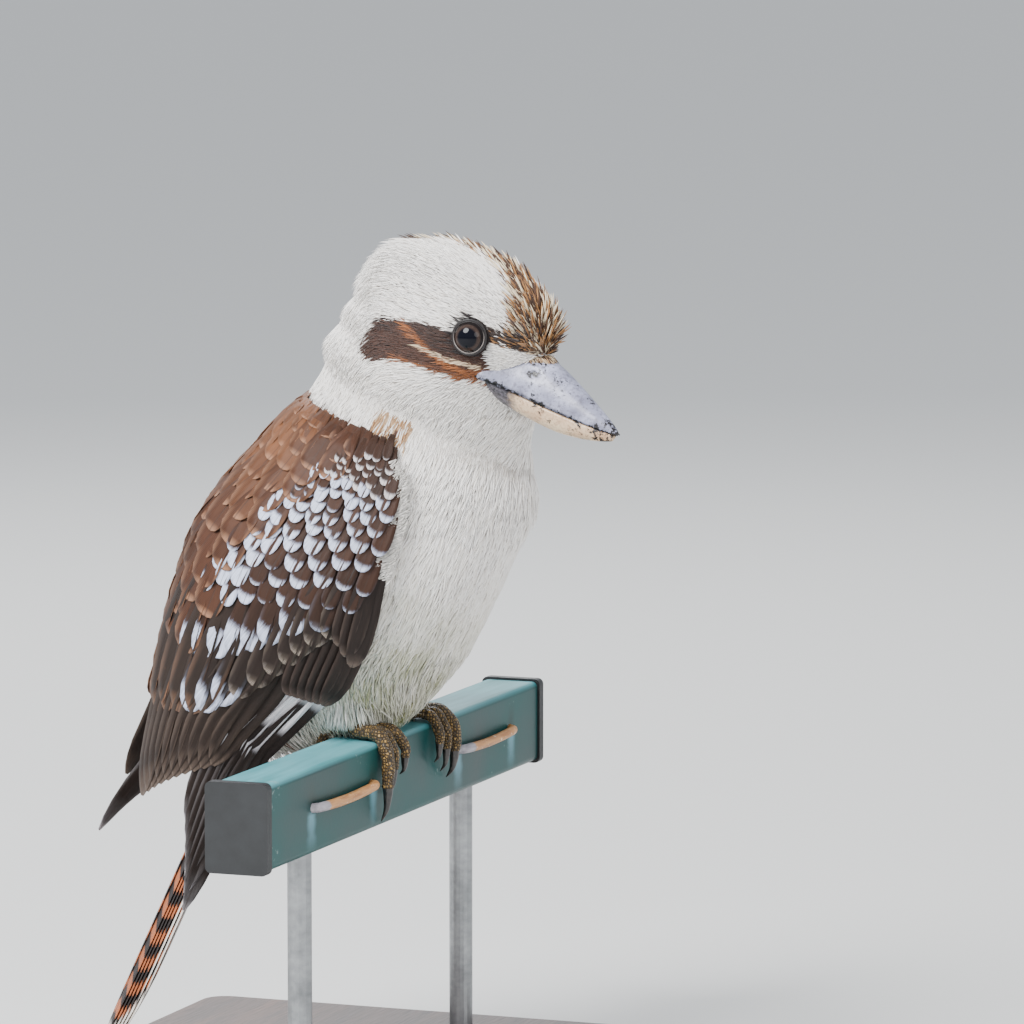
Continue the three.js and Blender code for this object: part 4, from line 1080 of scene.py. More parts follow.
def lie_of_coat(roots, outs):
    """Which way the feathers lie: back from the bill on the head, down the body below it."""
    u, _, _ = in_head(roots)
    share = (smoothstep(roots[:, 2], 132, 160) * (0.1 + 0.9 * smoothstep(u, -32, 14)))[:, None]
    run = unit(unit(roots - BILL_FOCUS) * share + AXIS_DOWN * (1 - share))
    hang = (1 - smoothstep(roots[:, 2], 16, 42))[:, None]
    return square_to(unit(run * (1 - hang) + np.array([0.3, 0, -1.0]) * hang), outs)


def clear_of_eyes(roots, run, length):
    """Shortens feathers that would end over an eye, and says which are rooted in one."""
    rooted = np.zeros(len(roots), bool)
    for side in (-1, 1):
        centre = eye_centre(side)
        rooted |= np.linalg.norm(roots - centre, axis=1) < ROOT_CLEAR
        for _ in range(8):
            for share in (0.6, 1.0):
                reached = roots + run * (length * share)[:, None]
                near = np.linalg.norm(reached - centre, axis=1) < FEATHER_CLEAR
                length = np.where(near, length * 0.84, length)
    return rooted, length


def lay_tufts(name, roots, outs, run, length, rise, bend, start, half, thick, colour, coat, ahead=1.0):
    """Joins tufts that lie along run from their roots, rise off the skin and bend back to it."""
    travel = length[:, None] * levels_of(TUFT)
    up = travel * rise - travel**2 / bend + start
    centres = roots[:, None] + run[:, None] * (travel * ahead)[..., None] + outs[:, None] * up[..., None]
    wide, out = (np.repeat(v[:, None], travel.shape[1], 1) for v in (np.cross(outs, run), outs))
    lay_forms(name, TUFT, centres, wide, out, half, thick, TUFT_CAMBER, skin_map(roots),
              {"Plumage": colour}, coat)


def lay_coat(name, arrays, spacing, keep, half, length, lift, seed, coat, spread=9):
    rng = np.random.default_rng(seed)
    roots, outs = scatter_roots(arrays, spacing, keep, rng)
    chance = rng.random((len(roots), 6))
    run = lie_of_coat(roots, outs)
    sway = np.radians(rng.normal(0, spread, len(roots)))[:, None]
    run = run * np.cos(sway) + np.cross(outs, run) * np.sin(sway)
    rooted, length = clear_of_eyes(roots, run, length(roots) * (0.75 + 0.5 * chance[:, 4]))
    stay = ~rooted & (length > 1.2)
    roots, outs, run, length, chance = (v[stay] for v in (roots, outs, run, length, chance))
    raised = np.radians(lift(roots) * (0.6 + 0.8 * chance[:, 5]))[:, None]
    width = half * (0.8 + 0.4 * chance[:, 1])
    lay_tufts(name, roots, outs, run, length, np.sin(raised), 96, 0.12, width, width * 0.45,
              plumage(roots, chance), coat, np.cos(raised))


def flat(value):
    return lambda points: np.full(len(points), float(value))


def face_length(points):
    u, _, w = in_head(points)
    return 2.6 + 4.6 * smoothstep(-u, -50, -8) + 1.8 * smoothstep(w, 8, 30) + 1.5 * smoothstep(u, 50, 56)


def crown_length(points):
    return face_length(points) + 1.2


def belly_length(points):
    return 10 + 6.5 * (1 - smoothstep(points[:, 2], 12, 28))


def crest_lift(points):
    u, _, w = in_head(points)
    return 8 + 4 * smoothstep(w, 18, 36) + 2 * smoothstep(-u, -6, 22) + 14 * smoothstep(u, 48, 55)


def streak_lift(points):
    return crest_lift(points) + 9


def streak_keep(points):
    u, b, w = in_head(points)
    inside = crown_side(u, b) < np.interp(u, *CROWN_REACH) - 0.5
    return ((w > np.interp(u, *STREAK_FLOOR)) & inside & (u > -16) & off_bill(points)).astype(float)


# Each row: name, lowest and highest place, spacing, half width, length and lift
COAT_PARTS = (
    ("face", FACE_FLOOR, 11, 0.9, 0.33, face_length, crest_lift),
    ("crown", 11, 60, 0.95, 0.34, crown_length, crest_lift),
    ("collar", -72, FACE_FLOOR, 1.2, 0.46, flat(10), flat(7.5)),
    ("breast", -125, -72, 1.35, 0.52, flat(12), flat(5.5)),
    ("belly", -170, -125, 1.45, 0.5, belly_length, flat(9)),
)


def make_coat(skin, coat):
    arrays = skin_arrays(skin.data)
    for side in (1, -1):
        for row, (name, low, high, spacing, half, length, lift) in enumerate(COAT_PARTS):

            def keep(points):
                _, b, w = in_head(points)
                here = (w > low) & (w <= high) & (b * side > 0)
                return (here & off_bill(points) & ~bare_back(points)).astype(float)

            lay_coat(f"{name}_feathers_{WORD[side]}", arrays, spacing, keep, half, length, lift,
                     100 + side + 3 * row, coat)
        lay_edge_feathers(side, coat, 115 + side)
        lay_thigh_feathers(side, coat, 118 + side)
    lay_forehead_edge(coat, 170)
    lay_coat("crown_streaks", arrays, 2.0, streak_keep, 0.56, flat(8.6), streak_lift, 150, coat, 7)


def lay_thigh_feathers(side, coat, seed):
    """Longer feathers round each leg, which hang over the root of the toes."""
    rng = np.random.default_rng(seed)
    count = 860
    line = curve_through(leg_line(side), 40)
    height = rng.uniform(9, 25, count)
    centre = np.stack([np.interp(height, line[::-1, 2], line[::-1, k]) for k in range(3)], 1)
    around = rng.uniform(-np.pi, np.pi, count)
    outs = np.stack([np.cos(around), np.sin(around), np.full(count, 0.15)], 1)
    roots = centre + outs * np.interp(height, (9, 16, 25), (6, 9, 11.5))[:, None]
    chance = rng.random((count, 6))
    run = unit(outs * 0.3 + np.array([0.12, 0, -1.0]) + rng.normal(0, 0.1, (count, 3)))
    length = np.minimum(9 + 5 * chance[:, 4], height - 2.5)
    colour = mix(np.tile(BELLY_SHADE, (count, 1)), CLEAN_WHITE, 0.7 * chance[:, 0])
    colour = mix(colour, BELLY_GREEN, 0.45 * chance[:, 1] * (roots[:, 0] > centre[:, 0]))
    lay_tufts(f"thigh_feathers_{WORD[side]}", roots, square_to(outs, run), run, length, 0.12, 80, 0, 0.5, 0.2,
              colour, coat)


def lay_forehead_edge(coat, seed):
    """Short feathers rooted on the base of the bill, which run back on to the forehead."""
    rng = np.random.default_rng(seed)
    along, angle = rng.uniform(7, 33, 4200), rng.uniform(0.35, np.pi - 0.35, 4200)
    half, culmen, _ = bill_sizes(along)
    side = bill_edge(along, half, angle)
    up = culmen * np.sin(angle) ** 0.85 + 0.1
    ridge = np.exp(-(side / 4.5) ** 2)
    stay = up > 1.4 + 0.394 * along - 0.9 * ridge + rng.normal(0, 0.35, len(up))
    along, side, up, half, culmen = (v[stay] for v in (along, side, up, half, culmen))
    roots = on_bill(along, side, up)
    outs = unit((side / half**2)[:, None] * HEAD_LEFT + (up / culmen**2)[:, None] * BILL_UP)
    run = square_to(np.tile(-0.75 * BILL_AHEAD + 0.5 * UP, (len(roots), 1)), outs)
    chance = rng.random((len(roots), 6))
    sway = rng.normal(0, 0.16, len(roots))[:, None]
    run = run * np.cos(sway) + np.cross(outs, run) * np.sin(sway)
    rise = np.sin(np.radians(12 + 12 * chance[:, 5]))[:, None]
    streaks = mix(CROWN_GOLD, CREAM, chance[:, 2])
    streaks = over(streaks, chance[:, 0] < 0.42, mix(CROWN_DARK, CROWN_BROWN, chance[:, 1]))
    white = mix(np.tile(CLEAN_WHITE, (len(roots), 1)), CREAM, 0.4 * chance[:, 2])
    colour = over(streaks, np.abs(side) > 8.5 + 2 * chance[:, 3], white)
    lay_tufts("forehead_edge_feathers", roots, outs, run, 3.0 + 2.2 * chance[:, 4], rise, 50, 0, 0.4, 0.16,
              colour, coat)


WING_LIFT = {-1: 0, 1: 18}


def lay_edge_feathers(side, coat, seed):
    """White feathers of the breast that lap over the front edge of the folded wing."""
    rng = np.random.default_rng(seed)
    count = 520
    p = rng.uniform(15, 60, count)
    turn = np.interp(p, FRONT_PLACES, FRONT_TURNS) + rng.uniform(-9, -0.5, count)
    roots = shell_point(side, WING_LIFT[side], p, turn, 0.3)
    ahead = shell_point(side, WING_LIFT[side], p + 1, turn + rng.uniform(0.2, 1.2, count), 0.3)
    beside = shell_point(side, WING_LIFT[side], p, turn + 1, 0.3) - roots
    run = unit(ahead - roots)
    outs = unit(np.cross(run, beside)) * -side
    chance = rng.random((count, 6))
    white = mix(np.tile(CLEAN_WHITE, (count, 1)), BELLY_SHADE, 0.6 * chance[:, 0])
    lay_tufts(f"wing_edge_feathers_{WORD[side]}", roots, outs, run, 6 + 4 * chance[:, 4],
              math.sin(math.radians(19)), 110, 0.2, 0.42, 0.18, white, coat)


# Wings

BOUNDARY = (
    (0, 18), (27, 22), (47, 32), (59, 35), (70, 36), (83, 40), (90, 44), (108, 42), (126, 47), (150, 56),
)
NO_PATCH = (2, 0)
VANE_THICK = 0.22
WING_TIPS = {-1: ((228, -24), (193, 6)), 1: ((219, 62), (194, 34))}
PATCH_ENDS = (124, 140, 152, 156, 156, 154)


def scapular_edge(p):
    return np.interp(p, *zip(*BOUNDARY))


def lay_vanes(name, form, rows, camber, material):
    """Joins feathers, each given as line, across, out, half, ground, pale, mark and place on the map."""
    line, across, out, half, ground, pale, mark, unwrap = (np.array(v) for v in zip(*rows))
    return lay_forms(name, form, line, across, out, half, VANE_THICK, camber, unwrap,
                     {"Ground": ground, "Tip": pale, "Marks": mark}, material)


class Wing:
    """Collects the feathers of one row or more on a wing, before they are joined in one mesh."""

    def __init__(self, side, form, dice):
        self.side, self.form, self.dice = side, form, dice
        self.rows = []

    def add(self, root, tip, half, rise, ground, pale, mark, lean=0.1):
        levels = levels_of(self.form)
        p, turn, height = (a + (b - a) * levels for a, b in (*zip(root, tip), rise))
        line = shell_point(self.side, WING_LIFT[self.side], p, turn, height)
        beside = shell_point(self.side, WING_LIFT[self.side], p, turn + 1, height) - line
        run = unit(np.gradient(line, axis=0))
        out = unit(np.cross(run, beside)) * -self.side
        across = unit(unit(np.cross(out, run)) + out * lean * self.side)
        unwrap = (0.02 + 0.96 * (root[1] + 30) / 125, 0.97 - 0.93 * (root[0] + 8) / 250)
        self.rows.append((line, across, out, half, ground, pale, mark, unwrap))

    def add_row(self, count, roots, tips, half, rise, ground, pale, mark, lean=0.1):
        for i in range(count):
            t = i / (count - 1)
            root, tip = ([a + (b - a) * t for a, b in zip(*ends)] for ends in (roots, tips))
            shade = 0.88 + 0.24 * self.dice.random()
            self.add(root, tip, half, (rise[0] + 0.12 * i, rise[1] + 0.12 * i), ground * shade, pale,
                     mark(i, t) if callable(mark) else mark, lean)

    def lay(self, name, material):
        piece = lay_vanes(f"{name}_{WORD[self.side]}", self.form, self.rows, 0.16, material)
        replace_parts(piece, f"wing_{WORD[self.side]}")


def lay_quills(side, dice, material):
    wing, tips = Wing(side, QUILL_VANE, dice), WING_TIPS[side]

    def primary_mark(i, t):
        first, end = 78 + 16 * t, tips[0][0] + (tips[1][0] - tips[0][0]) * t
        return 0.015, 0.12, (114 - first) / (end - first), (PATCH_ENDS[i] - first) / (end - first)

    wing.add_row(6, ((78, -17), (94, 8)), tips, 5.8, (-3.0, -2.0), QUILL_BROWN, PATCH_WHITE, primary_mark)
    wing.add_row(10, ((88, 2), (100, 62)), ((166, 3), (193, 58)), 7.2, (-1.6, 0.1), QUILL_GREY,
                 tone(140, 122, 108), (0.02, 0.3, *NO_PATCH))
    wing.add_row(4, ((84, 34), (92, 68)), ((150, 30), (158, 62)), 8.6, (0.2, 1.6), QUILL_GREY, BUFF_FRINGE,
                 (0.015, 0.4, *NO_PATCH))
    wing.lay("wing_quills", material)


GREATER_COVERTS = (
    (93, -6), (99, -2), (105, 1), (111, 3), (118, 6), (126, 9), (134, 13), (141, 18), (147, 24), (150, 33),
)
SPOTTED_COVERTS = ((92, -1), (99, 8), (107, 14), (113, 19), (118, 25), (123, 32), (127, 40), (130, 48))
SPOT_SIZES = (0.02, 0.2, 0.2, 0.2, 0.34, 0.34, 0.34, 0.34)
COVERT_ROWS = (12, 16, 20, 24.5, 29.5, 35, 41, 48, 55.5, 63.5, 72, 81)
SCAPULAR_ROWS = (20, 26, 33, 41, 50, 59, 68, 78, 88, 98, 108, 118, 128, 138, 147, 156)


def lay_coverts(side, dice, material):
    wing = Wing(side, SMALL_VANE, dice)
    # Primary coverts and the three feathers of the thumb
    wing.add_row(6, ((66, -12), (86, 2)), ((121, -22), (123, -6)), 5.8, (-2.0, 0.2), QUILL_BROWN,
                 tone(140, 120, 110), (0.012, 0.18, *NO_PATCH), 0.14)
    wing.add_row(3, ((48, -7), (54, -3)), ((100, -20), (94, -11)), 5.4, (-0.6, 1.1), QUILL_BROWN,
                 tone(150, 132, 120), (0.02, 0.2, *NO_PATCH), 0.14)
    # Greater coverts with a thin pale edge
    for i, (p, turn) in enumerate(GREATER_COVERTS):
        white, pale = (0.03, tone(190, 176, 160)) if i < 7 else (0.22, SKY_WHITE)
        wing.add((p - 42, turn + 5), (p, turn), 6.6, (-1.0 + 0.1 * i, 0.9 + 0.1 * i),
                 QUILL_BROWN * (0.9 + 0.25 * dice.random()), pale, (white, 0.16, *NO_PATCH))
    # Next row, with round white spots
    for (p, turn), white in zip(SPOTTED_COVERTS, SPOT_SIZES):
        wing.add((p - 34, turn + 4), (p, turn), 6.2, (-0.3, 1.6), COVERT_BROWN * (0.8 + 0.25 * dice.random()),
                 SKY_WHITE, (white, 0.1, *NO_PATCH))
    # Small coverts in slanting rows, whiter towards the shoulder feathers
    for row, start in enumerate(COVERT_ROWS):
        small = 0.5 + 0.5 * smoothstep(start, 12, 60)
        turn = np.interp(start, (13, 29, 54, 95), (9, 1, -6, -14)) + 3.6 * (row % 2) * small + dice.random()
        while turn < 58:
            p = start + 0.55 * max(turn, 0) + 0.25 * min(turn, 0) + dice.uniform(-1.2, 1.2)
            below = p - np.interp(turn, NAPE_TURNS, NAPE_PLACES)
            if turn < scapular_edge(p) + 9 and below > 3 and p < 106:
                lay_small_covert(wing, p, turn, small, below)
            turn += 7.4 * small
    wing.lay("wing_coverts", material)


def lay_small_covert(wing, p, turn, small, below):
    dice = wing.dice
    white = np.interp(scapular_edge(p) - turn, (0, 10, 20, 34, 46), (0.42, 0.36, 0.26, 0.19, 0.12))
    if turn < -4 or (p > 78 and turn < 12):
        white *= 0.5
    if p < 34:
        white = 0.16
    white *= dice.uniform(0.6, 1.25)
    if dice.random() < 0.12:
        white *= 0.2
    ground = mix(COVERT_BROWN, SCAPULAR_BROWN, dice.random() * 0.6) * dice.uniform(0.75, 1.1)
    first = 1 - smoothstep(below, 5, 24)
    rise = (-0.7 - 3.0 * first, 1.3 + 0.6 * small - 1.2 * first)
    wing.add((p - min(20 * small, below + 3), turn + 2.5), (p, turn), 4.0 * small, rise, ground,
             mix(SKY_WHITE, CREAM, 0.5 * (p < 34)), (white, 0.05, *NO_PATCH))


def lay_scapulars(side, dice, material):
    """The brown feathers of the shoulder and back, each with a thin buff edge."""
    wing = Wing(side, SMALL_VANE, dice)
    for row, start in enumerate(SCAPULAR_ROWS):
        large = smoothstep(start, 10, 70)
        half = 5.0 + 3.4 * large
        step = (half * 1.55) / 52 * 57.3
        turn = scapular_edge(start) + 4 + (row % 2) * step / 2
        while turn < 91:
            p = start + dice.uniform(-1.5, 1.5) - 0.05 * (turn - 60)
            below = p - np.interp(turn, NAPE_TURNS, NAPE_PLACES)
            if below >= 4 and (start <= 130 or turn >= 64):
                sunlit = smoothstep(turn, 36, 60) * (1 - smoothstep(p, 34, 92))
                ground = mix(SCAPULAR_BROWN, SUNLIT_BROWN, sunlit * dice.uniform(0.3, 1))
                ground = ground * dice.uniform(0.75, 1.15)
                first = 1 - smoothstep(below, 5, 26)
                rise = (-0.8 - 3.8 * first, 1.6 + 0.6 * dice.random() - 2.2 * first)
                wing.add((p - min(16 + 15 * large, below + 3), turn + 1), (p, turn - 1), half, rise, ground,
                         BUFF_FRINGE, (0.012, 0.55 + 0.3 * dice.random(), *NO_PATCH), 0.08)
            turn += step
    wing.lay("shoulder_feathers", material)


# Tail

TAIL_LENGTH = 145
TAIL_SWING = -3.5
TAIL_ROOF = math.tan(math.radians(14))


def make_tail(material, small):
    levels = levels_of(QUILL_VANE)
    rows = []
    for side, i in [(side, i) for i in range(5, -1, -1) for side in (-1, 1)]:
        width = 8 + 2 * i
        away = width / 2 * (0.55 + 0.45 * levels)
        drop = away * TAIL_ROOF + 1.0 * i + (0.0 if side < 0 else 0.35)
        p = TAIL_PLACE + 4 + (TAIL_LENGTH - 0.35 * i * i - 4) * levels
        line = on_axis(p, 3 - drop + TAIL_SWING * levels, side * away)
        across = unit(np.array([0, side * 1.0, 0]) - AXIS_BACK * TAIL_ROOF)
        across = np.repeat(across[None], len(levels), 0)
        out = unit(np.cross(unit(np.gradient(line, axis=0)), across)) * (-side)
        out = out * np.sign((out @ AXIS_BACK).mean())
        rows.append((line, across, out, max(width / 2, 6.5), (0.5 + side * 0.06 * (i + 1), 0.9),
                     (0.05 + 0.02 * i, 0.0 if i < 4 else 1.0, 0)))
    line, across, out, half, unwrap, marks = (np.array(v) for v in zip(*rows))
    quills = lay_forms("tail_quills", QUILL_VANE, line, across, out, half, 0.3, 0.06, unwrap,
                       {"Marks": marks}, material)
    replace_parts(quills, "tail")
    make_tail_coverts(small)


def make_tail_coverts(material):
    """Small feathers over and under the root of the tail."""
    dice = random.Random(9)
    levels = levels_of(SMALL_VANE)
    rows = []
    for way, depths in ((1, (16, 10.5, 6.2, 5.6)), (-1, (18, 11, 6.4, 6.8))):
        for row, k in [(row, k) for row in range(7) for k in range(5)]:
            along = row * 6.5 + dice.uniform(-1, 1)
            swing = (k - 2 + 0.5 * (row % 2)) * 0.36
            p = TAIL_PLACE - 8 + along + 22 * levels * 0.95
            q = np.interp(p - TAIL_PLACE, (-10, 12, 34, 60), depths) * math.cos(swing) * way
            if way > 0:
                q = q * 0.98 - 2 * smoothstep(p, 160, 200)
            line = on_axis(p, q, np.interp(along, (0, 20, 45), (13, 9, 7)) * 1.15 * math.sin(swing))
            run = unit(np.gradient(line, axis=0))
            outwards = AXIS_BACK * way * math.cos(swing) + np.array([0, 1.0, 0]) * math.sin(swing)
            across = unit(np.cross(run, outwards))
            out = unit(np.cross(across, run))
            colour = mix(CLEAN_WHITE, CREAM, 0.4)
            if way > 0:
                colour = mix(QUILL_GREY, TAIL_RUFOUS, 0.35 + 0.4 * (row % 2))
            colour = colour * dice.uniform(0.85, 1.1)
            unwrap = (0.5 + 0.08 * (k - 2), 0.3 + 0.06 * row)
            rows.append((line, across, out, 4.6, colour, CREAM, (0.03, 0.15, *NO_PATCH), unwrap))
    lay_vanes("tail_coverts", SMALL_VANE, rows, 0.25, material)


# The bill

MOUTH_BOW = 1.6
MOUTH_GAP = 0.15
LOWER_BILL_LENGTH = 70.5


def mouth_line(share):
    return -MOUTH_BOW * np.sin(np.pi * share)


def bill_ring(along, upper, count=60):
    """The upper half is a rounded roof with a soft ridge, the lower one a boat's keel."""
    half, culmen, keel = station_row(BILL_STATIONS, along)
    mouth = mouth_line(along / BILL_LENGTH)
    angle = np.linspace(0, np.pi, count // 2 + 1)
    inner = np.sin(angle[1:-1])
    if upper:
        edge = bill_edge(along, half, angle)
        top = mouth + MOUTH_GAP + max(culmen - mouth, 0.4) * np.sin(angle) ** 0.85
        floor = mouth + MOUTH_GAP + 0.9 * inner
    else:
        edge = bill_edge(along, half * 0.95, angle, 0.55)
        top = mouth - MOUTH_GAP - max(keel + mouth, 0.4) * np.sin(angle) ** 0.85
        floor = mouth - MOUTH_GAP - 0.6 * inner
    return on_bill(along, np.concatenate([edge, edge[1:-1][::-1]]), np.concatenate([top, floor]))


def press_nostrils(ring):
    for side in (-1, 1):
        hole = on_bill(NOSTRIL_ALONG, side * 7.6, NOSTRIL_UP)
        apart = (ring - hole) @ np.array([BILL_AHEAD, BILL_UP, HEAD_LEFT]).T
        near = np.exp(-(apart[:, 0] / 3.0) ** 2 - (apart[:, 1] / 1.3) ** 2 - (apart[:, 2] / 5) ** 2)
        ring -= side * HEAD_LEFT * (1.5 * near)[:, None]


def make_bill_half(name, upper, last, material):
    bm = bmesh.new()
    places = np.concatenate([np.linspace(-4, last - 6, 68), np.linspace(last - 5, last, 8)])
    rings = [bill_ring(p, upper) for p in places]
    if upper:
        for ring in rings:
            press_nostrils(ring)
    loft(bm, [to_row(ring) for ring in rings])
    piece = finish_mesh(bm, name + "_horn", material)
    along, side, up = in_bill(to_bird(places_of(piece.data.vertices)))
    lip = np.exp(-np.abs(up - mouth_line(np.clip(along / BILL_LENGTH, 0, 1))) / 1.3)
    ridge = np.exp(-side / 2.2) * (up > 0)
    flecked = 0.5 * np.exp(-((along - 31) / 8) ** 2 - ((up - 9.5) / 4) ** 2) * upper
    # Painted shade for the nostril's opening, kept in the third channel
    ahead, above = along - NOSTRIL_ALONG, up - NOSTRIL_UP
    nostril = np.exp(-((ahead - 0.5 * above) / 2.6) ** 2 - ((above + 0.28 * ahead) / 0.95) ** 2) * upper
    dark = np.maximum(lip, 0.4 * ridge + flecked)
    paint(piece.data, "Bill", np.stack([along / BILL_LENGTH, dark, nostril], 1))
    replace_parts(piece, name)


# The eyes

# Each ring of lid skin: name, radius, how far forward, thickness, how pale, how far back at the corners
LID_RINGS = (("rim", 6.4, 3.35, 0.22, 0.6, 0), ("lid", 7.0, 3.0, 0.6, 0.0, 0.45))
GAZE_RADIUS = 6.3


def make_eyes(glass, lid):
    for side in (-1, 1):
        name = "eye_" + WORD[side]
        centre, out = eye_centre(side), eye_outwards(side)
        bm = bmesh.new()
        bmesh.ops.create_icosphere(bm, subdivisions=4, radius=EYE_RADIUS)
        points = places_of(bm.verts)
        move_to(bm.verts, to_row(centre + points))
        ball = finish_mesh(bm, name + "_ball", glass)
        gaze = np.linalg.norm(points - np.outer(points @ out, out), axis=1) / GAZE_RADIUS
        gaze = np.where(points @ out > 0, gaze, 2)
        paint(ball.data, "Gaze", np.stack([gaze] * 3, 1))
        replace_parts(ball, name)
        for label, *sizes in LID_RINGS:
            make_lid(f"{name}_{label}", lid, centre, out, *sizes)


def make_lid(name, material, centre, out, radius, forward, tube, pale, fall):
    """A creased ring of skin round the eye, which follows the ball at its corners."""
    wide = unit(np.cross(UP, out))
    tall = np.cross(out, wide)
    turn = np.linspace(0, 2 * np.pi, 10, endpoint=False)
    rings = []
    for a in np.linspace(0, 2 * np.pi, 72, endpoint=False):
        spoke = math.cos(a) * wide + math.sin(a) * tall
        crease = 1 + 0.06 * math.sin(9 * a) + 0.05 * math.sin(23 * a)
        back = fall * abs(math.cos(a))
        hub = centre + spoke * (radius - 0.15 * back) + out * (forward - back)
        ring = hub + np.outer(np.cos(turn), spoke) * tube * crease + np.outer(np.sin(turn), out) * tube
        rings.append(to_row(ring))
    bm = bmesh.new()
    loft(bm, rings, closed=True)
    piece = finish_mesh(bm, name, material)
    height = (to_bird(places_of(piece.data.vertices)) - centre)[:, 2]
    paint(piece.data, "Rim", np.repeat((pale * smoothstep(-height, -4, 4))[:, None], 3, 1))


# Feet

# Each toe: name, splay, knuckle ahead and up, its end's height, claw's tip ahead and up, size
FEET = {
    -1: (
        ("inner", 9, (17, -7), -8.5, (14.6, -15.5), 0.82),
        ("middle", -9, (16.6, -9), -19, (13.6, -32.5), 1.05),
        ("outer", -2, (16.4, -8), -12, (13.8, -22.5), 0.85),
    ),
    1: (
        ("inner", -6, (16.6, -7), -8.5, (14.2, -16.5), 0.82),
        ("middle", 9, (17.4, -7.5), -14, (13.8, -25), 1.05),
        ("outer", 2, (16.6, -8), -12, (13.8, -21.5), 0.85),
    ),
}
HIND_CLAW = (-14, -15.5)
TOE_RADIUS = 3.1
ANKLE_RADIUS = 3.9
CLAW_RADII = (2.3, 1.9, 1.2, 0.3)
CLAW_BOW = 0.9
PAD_LENGTH, SCUTE_LENGTH = 8.5, 1.7


def toe_line(side, splay, reach, drop):
    x, y, z = ANKLES[side]
    return [(x - 1, y, z), (x + 6, y + splay * 0.45, 4.2), (12, y + splay * 0.85, 3),
            (reach[0], y + splay, reach[1] + 3), (reach[0], y + splay, drop)]


def hind_toe_line(side):
    x, y, z = ANKLES[side]
    return [(x + 2, y, z), (x - 6, y, 4), (-15.5, y, 1), (-16.6, y, -7)]


def toe_tube(bm, line, radii, steps=56):
    """A toe with pads under its joints and a row of scutes."""
    path = curve_through(line, steps)
    travel = np.concatenate([[0], np.cumsum(np.linalg.norm(np.diff(path, axis=0), axis=1))])
    thick = np.interp(np.linspace(0, 1, steps), np.linspace(0, 1, len(radii)), radii)
    thick = thick * (1 + 0.05 * np.sin(travel / PAD_LENGTH * 2 * np.pi))
    thick = thick * (0.965 + 0.05 * np.abs(np.sin(travel / SCUTE_LENGTH * np.pi)))
    thick[0], thick[-1] = thick[0] * 0.8, thick[-1] * 0.75
    loft(bm, [perch_to_row(ring) for ring in tube_rings(path, np.maximum(thick - 0.15, 0.3), 16)])


def make_claw(line, tip, size, name, material):
    path = curve_through(line, 40)
    end, ahead = path[-1], unit(path[-1] - path[-2])
    knuckle = end + ahead * 2.6 * size
    point = np.array([tip[0], end[1], tip[1]])
    bend = knuckle + (point - knuckle) * 0.55
    bend[0] += np.sign(end[0]) * CLAW_BOW
    path = curve_through([end - ahead * 0.8, knuckle, bend, point], 22)
    radii = np.interp(np.linspace(0, 3, 22), range(4), np.array(CLAW_RADII) * size) - 0.08
    bm = bmesh.new()
    loft(bm, [perch_to_row(ring) for ring in tube_rings(path, np.maximum(radii, 0.12), 14)])
    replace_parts(finish_mesh(bm, name + "_horn", material), name)


def make_feet(scales, horn):
    for side in (-1, 1):
        word = WORD[side]
        bm = bmesh.new()
        for toe, splay, reach, drop, tip, size in FEET[side]:
            line = toe_line(side, splay, reach, drop)
            toe_tube(bm, line, [TOE_RADIUS * size * share for share in (1, 1, 0.95, 0.82)])
            make_claw(line, tip, size, f"claw_{word}_{toe}", horn)
        line = hind_toe_line(side)
        toe_tube(bm, line, [TOE_RADIUS * share for share in (1, 0.9, 0.8)], 40)
        make_claw(line, HIND_CLAW, 0.9, f"claw_{word}_hind", horn)
        ankle = bmesh.ops.create_icosphere(bm, subdivisions=3, radius=ANKLE_RADIUS * MM)["verts"]
        move_to(ankle, places_of(ankle) + perch_to_row(ANKLES[side]))
        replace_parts(finish_mesh(bm, f"foot_{word}_toes", scales), f"foot_{word}")


# Perch, stage and camera

def make_cords(material):
    for name, (start, end) in CORD_RUNS.items():
        line = [(CORD_INSIDE, start, CORD_LEVEL), (BAR_FACE - 0.4, start + 1, CORD_LEVEL),
                (CORD_OUT, start + 6, CORD_LEVEL), (CORD_OUT, (start + end) / 2, CORD_LEVEL - 0.8),
                (CORD_OUT, end - 6, CORD_LEVEL), (BAR_FACE - 0.4, end - 1, CORD_LEVEL),
                (CORD_INSIDE, end, CORD_LEVEL)]
        path = curve_through(line, 90)
        dice = np.random.default_rng(int(end) + 200)
        radii = CORD_RADIUS - 0.12 + 0.07 * np.convolve(dice.normal(size=94), np.ones(5) / 5, "valid")
        bm = bmesh.new()
        loft(bm, [perch_to_row(ring) for ring in tube_rings(path, radii, 18)])
        piece = finish_mesh(bm, f"cord_run_{name}", material)
        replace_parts(piece, f"perch_cord_{name}")


# Each light: name, place, what it points at, size and power
LIGHTS = (
    ("key", (-0.5, -1.4, 1.7), (0.02, 0, 0.26), 1.2, 100),
    ("fill", (1.8, -1.0, 0.9), (0.02, 0, 0.24), 1.2, 14),
    ("back", (-0.8, 1.6, 1.5), (0, 0, 0.3), 0.9, 24),
)


FLOOR_SIZE = 40
SKY = (0.80, 0.84, 0.90, 1)
CAMERA_PLACE = (1.0795, -2.6018, 0.5909)
CAMERA_TURN = (math.radians(83.02), 0, math.radians(20.9))
CAMERA_LENS, SENSOR_WIDTH = 239.06, 36


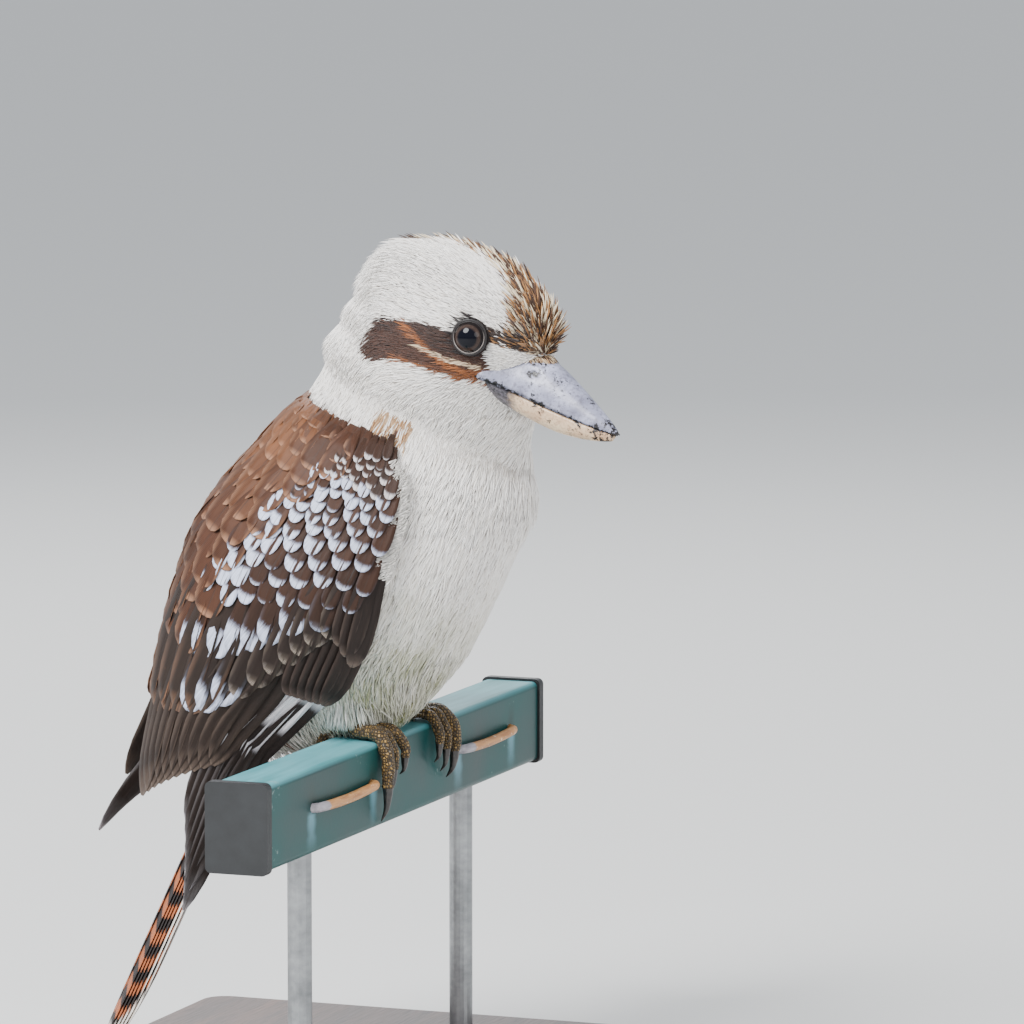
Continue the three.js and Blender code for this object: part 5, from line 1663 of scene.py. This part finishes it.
def make_stage():
    bm = bmesh.new()
    bmesh.ops.create_grid(bm, x_segments=1, y_segments=1, size=FLOOR_SIZE)
    floor = new_object("studio_floor", mesh_from(bm, "studio_floor"))
    material, f = new_material("pale_floor")
    f.shade({"Base Color": tone(214, 214, 212), "Roughness": 0.8})
    floor.data.materials.append(material)
    world = bpy.data.worlds.new("studio")
    bpy.context.scene.world = world
    world.use_nodes = True
    sky = world.node_tree.nodes["Background"]
    sky.inputs[0].default_value = SKY
    sky.inputs[1].default_value = 1.0
    for name, place, aim, size, power in LIGHTS:
        data = bpy.data.lights.new(name, "AREA")
        data.shape = "DISK"
        data.size = size
        data.energy = power
        lamp = new_object(name, data)
        lamp.location = place
        lamp.rotation_euler = (Vector(aim) - Vector(place)).to_track_quat("-Z", "Y").to_euler()


def make_camera():
    data = bpy.data.cameras.new("photo_view")
    data.sensor_width = SENSOR_WIDTH
    data.lens = CAMERA_LENS
    data.clip_end = 100
    camera = new_object("photo_view", data)
    camera.location = CAMERA_PLACE
    camera.rotation_euler = CAMERA_TURN
    bpy.context.scene.camera = camera


def keep_nodes(material, *names):
    """Solids whose shape is right stay, in their own finish."""
    for name in names:
        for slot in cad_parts[name].material_slots:
            slot.material = material


make_camera()
make_stage()
make_cords(cord_material())

skin = finish_mesh(make_skin(), "skin", skin_material())
skin_points = to_bird(places_of(skin.data.vertices))
paint(skin.data, "Plumage", plumage(skin_points, np.full((len(skin_points), 6), 0.5)))
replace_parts(skin, "torso", "neck", "head", "leg_right", "leg_left")
make_coat(skin, coat_material())

covert_finish = vane_material("covert_feather", 13, 0.04, 0.16, 0.95)
quill_finish = vane_material("quill_feather", 90, 0.06, 0.02, 0.32)
for side in (-1, 1):
    dice = random.Random(40 + side)
    lay_quills(side, dice, quill_finish)
    lay_coverts(side, dice, covert_finish)
    lay_scapulars(side, dice, covert_finish)
make_tail(tail_material(), covert_finish)

make_bill_half("upper_bill", True, BILL_LENGTH, bill_material("upper_bill_horn", True))
make_bill_half("lower_bill", False, LOWER_BILL_LENGTH, bill_material("lower_bill_horn", False))
make_eyes(eye_material(), lid_material())
make_feet(scaly_material("scaly_foot", tone(164, 130, 74), tone(34, 27, 20)), claw_material())

cap = plain_material("black_cap_plastic", tone(14, 15, 17), tone(34, 36, 38), 0.4)
steel = plain_material("brushed_rod_steel", tone(120, 122, 124), tone(176, 178, 180), 0.25, 1.0, 2.0, 0.15)
keep_nodes(bar_material(), "perch_bar")
keep_nodes(cap, "perch_cap_near", "perch_cap_far")
keep_nodes(wood_material(), "stand_base")
keep_nodes(steel, "stand_rod_near", "stand_rod_far")
